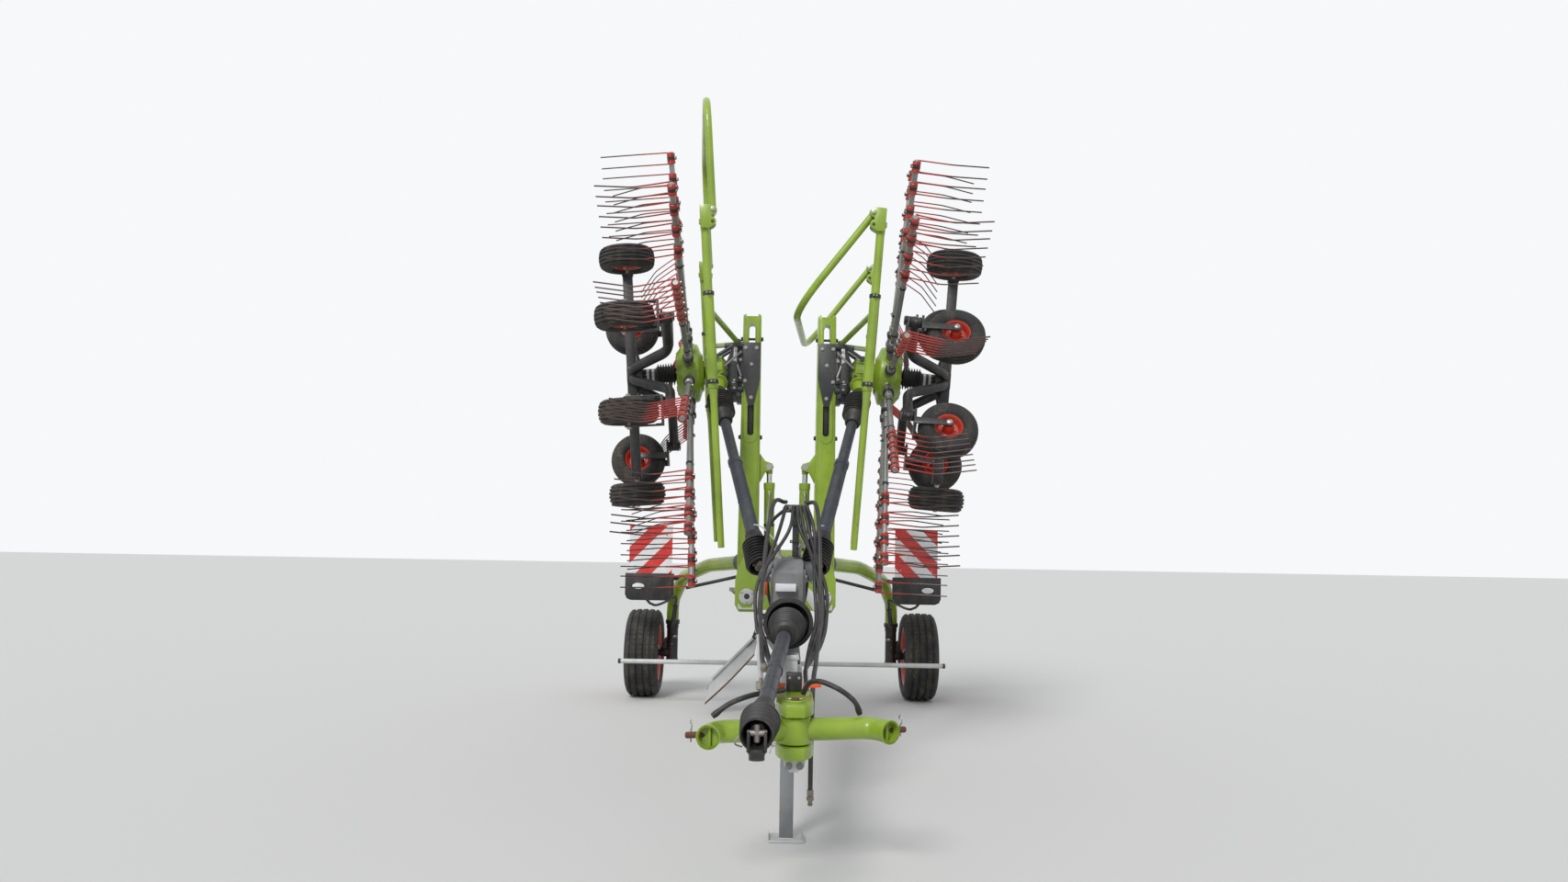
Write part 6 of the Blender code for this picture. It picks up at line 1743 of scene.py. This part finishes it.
def makeDriveShaft():
    tip, end = spot(*drive["front"]), spot(*drive["rear"])
    way = (end - tip).normalized()
    tip += way * 0.0115
    piece = Piece("pto_shaft_guard", "frame", "shaft_guard")
    full = (end - tip).length - 0.02
    cone = [(0.012, 0.056), (0.0, 0.06), (0.001, 0.066), (0.008, 0.068), (0.014, 0.062)]
    cone += ribbedRows(0.02, 0.165, (0.071, 0.084), 5, 0.011)
    cone += [
        (0.196, 0.066), (0.23, 0.056), (0.27, 0.05), (0.34, 0.048), (0.37, 0.0465), (0.372, 0.036),
        (0.2, 0.036), (0.06, 0.05)]
    piece.toward(cone, tip, end, 44, "bootPlastic", hollow=True)
    sleeve = [
        (0.36, 0.034), (0.362, 0.0345), (0.93, 0.0345), (0.932, 0.04), (0.985, 0.04), (0.988, 0.037),
        (full * 0.82, 0.037)]
    piece.toward(sleeve, tip, end, 36, "guardPlastic")
    for along in (0.55, 0.75, 1.2):
        base = 0.0345 if along < 0.93 else 0.037
        piece.toward(
            [
                (along, base), (along + 0.002, base + 0.002), (along + 0.012, base + 0.002),
                (along + 0.014, base)],
            tip, end, 32, "guardPlastic")
    rear = [
        (full - 0.3, 0.037), (full - 0.298, 0.046), (full - 0.27, 0.05), (full - 0.262, 0.066),
        (full - 0.25, 0.074)]
    rear += ribbedRows(full - 0.245, 0.185, (0.078, 0.112), 6, 0.008)
    rear += [(full - 0.055, 0.098), (full - 0.03, 0.092), (full - 0.03, 0.03)]
    piece.toward(rear, tip, end, 44, "bootPlastic")
    # the front joint: a yoke pair hanging from the cone's mouth
    core = tip + way * 0.055
    piece.toward([(0.0, 0.026), (0.004, 0.03), (0.1, 0.03)], core, end, 28, "bareSteel")
    cross = tip + way * 0.03
    across = Vector((1, 0, 0))
    piece.bar(cross - across * 0.04, cross + across * 0.04, 0.013, 18, "bareSteel")
    upright = way.cross(across).normalized()
    piece.bar(cross - upright * 0.036, cross + upright * 0.036, 0.013, 18, "bareSteel")
    for sign in (-1, 1):
        ear = cross + across * sign * 0.036
        low = cross + Vector((0, -0.012, -0.066))
        piece.block((ear + low + across * sign * 0.03) / 2, (0.014, 0.04, 0.08), 0.006, "satinBlackPaint")
    collar = cross + Vector((0, -0.004, -0.058))
    piece.spun(
        [
            (0, 0.024), (0.004, 0.031), (0.02, 0.034), (0.026, 0.031), (0.044, 0.031), (0.046, 0.026),
            (0.046, 0.018), (0.01, 0.017)],
        collar, (0, -0.1, -1), 28, "satinBlackPaint")
    link = cross + Vector((-0.058, 0.035, -0.01))
    chain = []
    for number in range(9):
        turn = pi * number / 8
        chain.append(
            link + Vector((-0.03 * sin(turn), 0.02 * number / 8, -0.055 * number / 8 - 0.01 * sin(turn))))
    piece.pipe(chain, 0.0035, 8, "boltZinc")
    return piece.finish("pto_shaft")


hoseStand = {
    "x": 0.042, "station": 1.62, "foot": 1.4006, "top": 1.72, "outlets": (-0.055, -0.018, 0.018, 0.055),
    "outletZ": 1.697, "hose": 0.0105, "step": 0.035,
    "held": [  # place along the head, how wide the hose swings out beside the bell
        (-0.055, 0.15), (-0.018, 0.172), (0.018, 0.166), (0.055, 0.148), (0.037, 0.186), (0.004, 0.205),
    ],
    "rearHoses": (-0.055, 0.055),
}


def makeHoseStand():
    look = hoseStand
    piece = Piece("hose_stand_post", "frame", "dark_frame")
    x, station, outletZ = look["x"], look["station"], look["outletZ"]
    foot, top = look["foot"], look["top"]
    y = stationY(station)

    def hose(rows):
        line = smoothLine([spot(*row) for row in rows], look["step"])
        piece.pipe(line, look["hose"], 12, "hoseRubber")

    piece.block((x, y, (foot + top) / 2), (0.04, 0.04, top - foot), 0.004, "darkGreyPaint")
    piece.block((x, y, 1.405), (0.09, 0.08, 0.01), 0.002, "darkGreyPaint")
    piece.bolts([(x + a * 0.034, y + b * 0.028, 1.41) for a in (-1, 1) for b in (-1, 1)], upward, 0.007)
    head = [
        (x - 0.08, 1.672), (x - 0.08, 1.7), (x - 0.066, top), (x + 0.066, top), (x + 0.08, 1.7),
        (x + 0.08, 1.672)]
    piece.plate(head, y - 0.024, y + 0.024, "xz", 0.003, "darkGreyPaint")
    outlet = [(0, 0.017), (0.006, 0.017), (0.006, 0.012), (0.03, 0.012), (0.031, 0.009)]
    nut = [(0, 0.015), (0.014, 0.015), (0.016, 0.012)]
    for offset in look["outlets"]:
        piece.spun(outlet, (x + offset, y - 0.024, outletZ), (0, -1, 0), 20, "boltZinc")
        piece.spun(nut, (x + offset, y + 0.024, outletZ), rearward, 6, "boltZinc")
    for z in (1.5, 1.6):
        piece.block((x, y - 0.024, z), (0.07, 0.01, 0.018), 0.002, "satinBlackPaint")
        piece.bolts([(x - 0.026, y - 0.029, z), (x + 0.026, y - 0.029, z)], (0, -1, 0), 0.005)
    for number, (offset, wide) in enumerate(look["held"]):
        side = -1 if offset < 0 else 1
        hose([
            (x + offset, station - 0.055, outletZ), (x + offset * 1.15, station - 0.13, 1.7),
            (x + offset * 1.5 + side * 0.02, station - 0.23, 1.56), (side * wide, 1.33, 1.28),
            (side * (wide + 0.008), 1.22, 1.07), (side * (wide - 0.03), 1.1, 0.94),
            (side * 0.095, 0.92, 0.865 - number * 0.004), (side * 0.088, 0.7, 0.8 + (number % 2) * 0.026),
            (side * 0.088, 0.45, 0.765 + (number % 2) * 0.026),
        ])
    for offset in look["rearHoses"]:
        side = -1 if offset < 0 else 1
        hose([
            (x + offset, station + 0.045, outletZ), (x + offset, station + 0.12, 1.7),
            (side * 0.135, station + 0.2, 1.55), (side * 0.12, station + 0.28, 1.2),
            (side * 0.085, station + 0.36, 1.04),
        ])
    return piece.finish("hose_stand")


# Rear: the arched axle tube, striped boards, the light-grey tube across and the deflector
arch = {
    "line": [
        (1.0, 5.2, 0.655), (1.0, 5.18, 0.86), (0.88, 4.82, 1.1), (0.62, 4.2, 1.235), (0.3, 3.62, 1.29),
        (0.0, 3.5, 1.305),
    ],
    "radius": 0.055, "bend": 0.1, "kingX": 1.0, "kingEnds": (0.3225, 0.66), "kingpin": 0.03,
}


def makeArch():
    look = arch
    piece = Piece("axle_arch_tube", "frame", "green_paint")
    right = [spot(*row) for row in look["line"]]
    left = [Vector((-p.x, p.y, p.z)) for p in right[:-1]]
    piece.pipe(rounded(right + left[::-1], look["bend"], 8), look["radius"], 32, "limePaint")
    front, rear = 3.42, 3.58
    outline = [
        (stationY(front), beamHeight(front, True) + 0.0006),
        (stationY(rear), beamHeight(rear, True) + 0.0006), (stationY(rear), 1.31), (stationY(front), 1.305)]
    piece.plate(outline, -0.09, 0.09, "yz", 0.005, "limePaint")
    for side in (-1, 1):
        kingX = side * look["kingX"]
        low, high = look["kingEnds"]
        piece.bar((kingX, axleY, low), (kingX, axleY, high), look["kingpin"], 28, "bareSteel")
        cap = [(-0.01, 0.05), (-0.01, 0.06), (-0.004, 0.064), (0.026, 0.064), (0.032, 0.058)]
        piece.spun(cap, (kingX, axleY, 0.659), upward, 36, "satinBlackPaint")
        clampAt = spot(side * 0.325, 3.665, 1.286)
        clampWay = (spot(side * 0.62, 4.2, 1.235) - clampAt).normalized()
        piece.spun(ringRows(0.04, 0.056, 0.072, 0.004), clampAt, clampWay, 32, "darkGreyPaint", hollow=True)
        for way in (-1, 1):
            lug = clampAt + Vector((0, 0, way * 0.082))
            piece.block(lug, (0.05, 0.035, 0.03), 0.003, "darkGreyPaint")
            piece.bolts([lug + Vector((0, -0.018, 0))], (0, -1, 0), 0.008)
        # a small lock cylinder in front of the arch's leg
        low, high = spot(side * 0.985, 5.075, 0.665), spot(side * 0.955, 5.02, 0.925)
        barrel = [
            (0, 0.016), (0.004, 0.021), (0.15, 0.021), (0.152, 0.024), (0.168, 0.024), (0.17, 0.012),
            (0.265, 0.012)]
        piece.toward(barrel, low, high, 24, "satinBlackPaint")
        for point in (low, high):
            piece.spun([(-0.018, 0.016), (0.018, 0.016)], point, rearward, 20, "satinBlackPaint")
            piece.bar(point, point + Vector((0, 0.07, 0)), 0.009, 12, "boltZinc")
        start = spot(side * 0.88, 4.82, 1.1)
        end = spot(side * board["x"], board["station"] + 0.0306, 1.16)
        armLine = rounded([start, start.lerp(end, 0.55) + Vector((0, 0.05, -0.06)), end], 0.06, 6)
        piece.pipe(armLine, 0.018, 18, "satinBlackPaint")
        piece.block(end, (0.2, 0.036, 0.075), 0.004, "satinBlackPaint")
        lower = smoothLine(
            [
                end + Vector((side * 0.04, 0.004, -0.03)), end + Vector((side * 0.05, 0.0, -0.2)),
                end + Vector((-side * 0.04, 0.03, -0.3)), spot(side * 0.965, 5.0, 0.905)],
            0.04)
        piece.pipe(lower, 0.011, 14, "satinBlackPaint")
    return piece.finish("axle_arch")


board = {
    "x": 1.155, "station": 4.6, "low": 0.906, "high": 1.55, "split": 1.118,  # lamps below the split
    "sheet": (-0.19, 0.18), "lampX": 0.095, "lampZ": 1.028, "rearZ": 1.02,
    "rearLamps": [(-0.12, 0.11, "redLens"), (-0.01, 0.08, "orangeSheet"), (0.11, 0.11, "redLens")],
}


def makeBoard(word, side):
    look = board
    x, y = look["x"], stationY(look["station"])
    piece = Piece("light_board_" + word + "_panel", "frame", "board", side)
    low, high, split = look["low"], look["high"], look["split"]
    inner, outer = (x + reach for reach in look["sheet"])
    panel = [
        (x - 0.21, low + 0.05), (x - 0.195, low + 0.015), (x - 0.16, low), (x + 0.16, low),
        (x + 0.195, low + 0.015), (x + 0.21, low + 0.05), (x + 0.21, split + 0.02),
        (x - 0.21, split + 0.02),
    ]
    piece.plate(panel, y - 0.01, y + 0.01, "xz", 0.003, "satinBlackPaint")
    sheet = [
        (inner, split - 0.01), (outer, split - 0.01), (outer, high - 0.004), (outer - 0.004, high),
        (inner + 0.004, high), (inner, high - 0.004)]
    piece.plate(sheet, y - 0.0016, y + 0.0016, "xz", 0, "stripes_" + word)
    for cz in (high - 0.006, split + 0.006):
        piece.block(
            ((inner + outer) / 2, y + 0.006, cz), (outer - inner, 0.008, 0.012), 0.002, "satinBlackPaint")
    for cx in (inner + 0.05, outer - 0.05):
        piece.block((cx, y + 0.0055, (split + high) / 2), (0.03, 0.008, high - split), 0.002, "zincCoat")
        for cz in (split + 0.08, high - 0.08):
            piece.bolts([(cx, y - 0.0016, cz)], (0, -1, 0), 0.006)
    lampX, lampZ = x + look["lampX"], look["lampZ"]
    piece.plate(ovalLine(lampX, lampZ, 0.052, 0.025), y - 0.018, y - 0.009, "xz", 0.002, "whiteLens")
    piece.plate(ovalLine(lampX, lampZ, 0.06, 0.032), y - 0.013, y - 0.008, "xz", 0.001, "bootPlastic")
    for across, wide, paint in look["rearLamps"]:
        piece.block((x + across, y + 0.017, look["rearZ"]), (wide, 0.018, 0.09), 0.006, paint)
    piece.block((x - 0.005, y + 0.011, look["rearZ"]), (0.36, 0.008, 0.115), 0.003, "bootPlastic")
    return piece.finish("light_board_" + word)


crossTube = {"station": 4.65, "z": 0.378, "reach": 1.415, "radius": 0.02, "postHalf": 0.015, "seam": 0.0006}


def makeCrossTube():
    look = crossTube
    piece = Piece("cross_tube_bar", "frame", "beam_grey")
    station, z, reach, radius = look["station"], look["z"], look["reach"], look["radius"]
    y = stationY(station)
    rows = [
        (-reach + 0.004, radius - 0.002), (-reach + 0.006, radius), (reach - 0.006, radius),
        (reach - 0.004, radius - 0.002)]
    piece.spun(rows, (0, y, z), outboard, 28, "lightGreyPaint")
    for side in (-1, 1):
        plug = [(reach - 0.024, 0.0203), (reach - 0.022, 0.0212), (reach - 0.003, 0.0212), (reach, 0.018)]
        piece.spun(plug, (0, y, z), (side, 0, 0), 28, "satinBlackPaint")
        ear = [
            (side * 0.052, z - 0.028), (side * 0.052, z + 0.055), (side * 0.09, z + 0.028),
            (side * 0.09, z - 0.028)]
        piece.plate(ear, y - 0.026, y - 0.0195, "xz", 0.0015, "lightGreyPaint")
        piece.bolts([(side * 0.072, y - 0.026, z)], (0, -1, 0), 0.009)
    low, high = station - look["postHalf"], station + look["postHalf"]
    outline = [
        (stationY(low), z), (stationY(high), z), (stationY(high), beamHeight(high, False) - look["seam"]),
        (stationY(low), beamHeight(low, False) - look["seam"])]
    piece.plate(outline, -0.05, 0.05, "yz", 0.004, "lightGreyPaint")
    top = beamHeight(station, False)
    lean = Matrix.Rotation(radians(4.5), 4, "X")  # along the beam
    piece.put(boxed((0, y, top - 0.006), (0.13, 0.11, 0.01), 0.002, lean), "lightGreyPaint")
    piece.bolts(
        [(a * 0.05, y + b * 0.036, top - 0.013 + b * 0.003) for a in (-1, 1) for b in (-1, 1)], (0, 0, -1),
        0.008)
    return piece.finish("cross_tube")


deflector = {
    "ridge": ((-0.2, 4.32, 0.668), (-0.6, 4.32, 0.262)), "front": (-0.034, -0.095, -0.175),
    "back": (-0.03, 0.105, -0.085), "thick": 0.004, "link": ((-0.438, 4.32, 1.03), (-0.175, 4.32, 0.81)),
    "bar": 0.016,
}


def makeDeflector():
    look = deflector
    top, tip = (spot(*row) for row in look["ridge"])
    down = (tip - top).normalized()
    piece = Piece("deflector_sheet", "frame", "beam_grey")
    front, back = Vector(look["front"]), Vector(look["back"])

    # a strip between two shares of the length and of the front's width
    def sheet(first, last, near, far, paint, extra):
        bm = bmesh.new()
        rings = []
        for number in range(9):
            share = first + (last - first) * number / 8
            ridge = top.lerp(tip, share)
            curl = 1.0 + 0.1 * sin(share * pi)
            section = []
            thick = look["thick"] + extra
            steps = [near + (far - near) * count / 8 for count in range(9)]
            for level, run in ((1, steps), (-1, steps[::-1])):
                for across in run:
                    limb = front * across * curl if across >= 0 else back * -across
                    bend = 0.012 * (1 - min(1, abs(across) * 4)) ** 2
                    face = Vector((0.5, 0.25, 0.8)) * thick * level * 0.5
                    section.append(ridge + limb - Vector((0, 0, bend)) + face)
            rings.append([bm.verts.new(point) for point in section])
        for before, after in zip(rings, rings[1:]):
            for number in range(len(before)):
                other = (number + 1) % len(before)
                bm.faces.new((before[number], before[other], after[other], after[number]))
        bm.faces.new(rings[0])
        bm.faces.new(rings[-1])
        piece.put(bm, paint)

    sheet(0.0, 1.0, -1.0, 0.9, "lightGreyPaint", 0.0)
    sheet(0.0, 1.0, 0.88, 1.0, "rustySteel", 0.001)
    rim = [top.lerp(tip, share) + Vector((-0.002, -0.004, 0.004)) for share in (0.01, 0.5, 0.95)]
    piece.pipe(rim, 0.011, 12, "lightGreyPaint")
    linkTop, linkFoot = (spot(*row) for row in look["link"])
    piece.bar(linkTop, linkFoot, look["bar"], 20, "limePaint")
    piece.block(linkFoot, (0.048, 0.048, 0.048), 0.006, "satinBlackPaint")
    for way in (-1, 1):
        piece.bolts([linkFoot + Vector((0, way * 0.024, 0))], (0, way, 0), 0.01)
        piece.bolts([linkTop + Vector((0, way * 0.017, 0))], (0, way, 0), 0.01)
    piece.bar(linkFoot, top + down * 0.064, look["bar"], 20, "satinBlackPaint")
    seam = top + down * 0.1
    piece.put(
        boxed(
            seam + Vector((-0.004, 0, 0.004)), (0.075, 0.09, 0.012), 0.002,
            Matrix.Rotation(atan2(-down.z, down.x), 4, "Y")),
        "lightGreyPaint")
    armX, armZ = -0.0706, look["link"][0][2]
    reach = abs(look["link"][0][0]) + armX + look["bar"]
    piece.block(spot(armX - reach / 2, 4.32, armZ), (reach, 0.032, 0.032), 0.004, "lightGreyPaint")
    rise = beamHeight(4.32, False) + 0.048
    piece.block(
        spot(armX - 0.016, 4.32, (rise + armZ) / 2), (0.032, 0.048, rise - armZ + 0.032), 0.004,
        "lightGreyPaint")
    brace = [(-0.09, armZ - 0.015), (-0.09, armZ - 0.07), (-0.104, armZ - 0.07), (-0.2, armZ - 0.015)]
    piece.plate(brace, stationY(4.317), stationY(4.323), "xz", 0.001, "lightGreyPaint")
    return piece.finish("deflector")


makeDrawbar()
makeJack()
makeHeadstock()
makeGearbox()
makeDriveShaft()
makeHoseStand()
makeArch()
makeCrossTube()
makeDeflector()
for word, side in sides.items():
    makeBoard(word, side)
print("hitch, drawbar, axle and rear made")

# Floor, backdrop and light
stageLook = {
    "floor": 60.0,
    "floorColour": (0.62, 0.62, 0.6),
    "worldColour": (0.93, 0.95, 1.0),
    "worldStrength": 0.62,
    "seenColour": (0.93, 0.94, 0.95),  # what the camera and reflections see
    "keyStrength": 2.1,
    "keyTurn": (48, 8, -28),
    "keySize": 18,
}


def makeStage(look):
    bm = bmesh.new()
    bmesh.ops.create_grid(bm, x_segments=4, y_segments=4, size=look["floor"] / 2)
    mesh = bpy.data.meshes.new("floor")
    bm.to_mesh(mesh)
    bm.free()
    wiring = Wiring("floorFinish")
    wiring.shader.inputs["Base Color"].default_value = (*look["floorColour"], 1)
    wiring.shader.inputs["Roughness"].default_value = 0.9
    mesh.materials.append(wiring.material)
    floor = bpy.data.objects.new("floor", mesh)
    floor.location = (0, 0, -0.001)
    bpy.context.scene.collection.objects.link(floor)
    world = bpy.data.worlds.new("paleRoom")
    world.use_nodes = True
    tree = world.node_tree
    sky = tree.nodes["Background"]
    sky.inputs["Color"].default_value = (*look["worldColour"], 1)
    sky.inputs["Strength"].default_value = look["worldStrength"]
    seen = tree.nodes.new("ShaderNodeBackground")
    seen.inputs["Color"].default_value = (*look["seenColour"], 1)
    seen.inputs["Strength"].default_value = 1.0
    path = tree.nodes.new("ShaderNodeLightPath")
    share = path.outputs["Is Camera Ray"]
    for kind in ("Is Glossy Ray", "Is Transmission Ray"):
        either = tree.nodes.new("ShaderNodeMath")
        either.operation = "MAXIMUM"
        tree.links.new(share, either.inputs[0])
        tree.links.new(path.outputs[kind], either.inputs[1])
        share = either.outputs["Value"]
    mixed = tree.nodes.new("ShaderNodeMixShader")
    tree.links.new(share, mixed.inputs["Fac"])
    tree.links.new(sky.outputs["Background"], mixed.inputs[1])
    tree.links.new(seen.outputs["Background"], mixed.inputs[2])
    tree.links.new(mixed.outputs["Shader"], tree.nodes["World Output"].inputs["Surface"])
    bpy.context.scene.world = world
    lamp = bpy.data.lights.new("softSun", "SUN")
    lamp.energy = look["keyStrength"]
    lamp.angle = radians(look["keySize"])
    lampObject = bpy.data.objects.new("softSun", lamp)
    lampObject.rotation_euler = [radians(value) for value in look["keyTurn"]]
    bpy.context.scene.collection.objects.link(lampObject)


makeStage(stageLook)
bpy.context.scene.view_settings.view_transform = "Standard"
print("stage set")
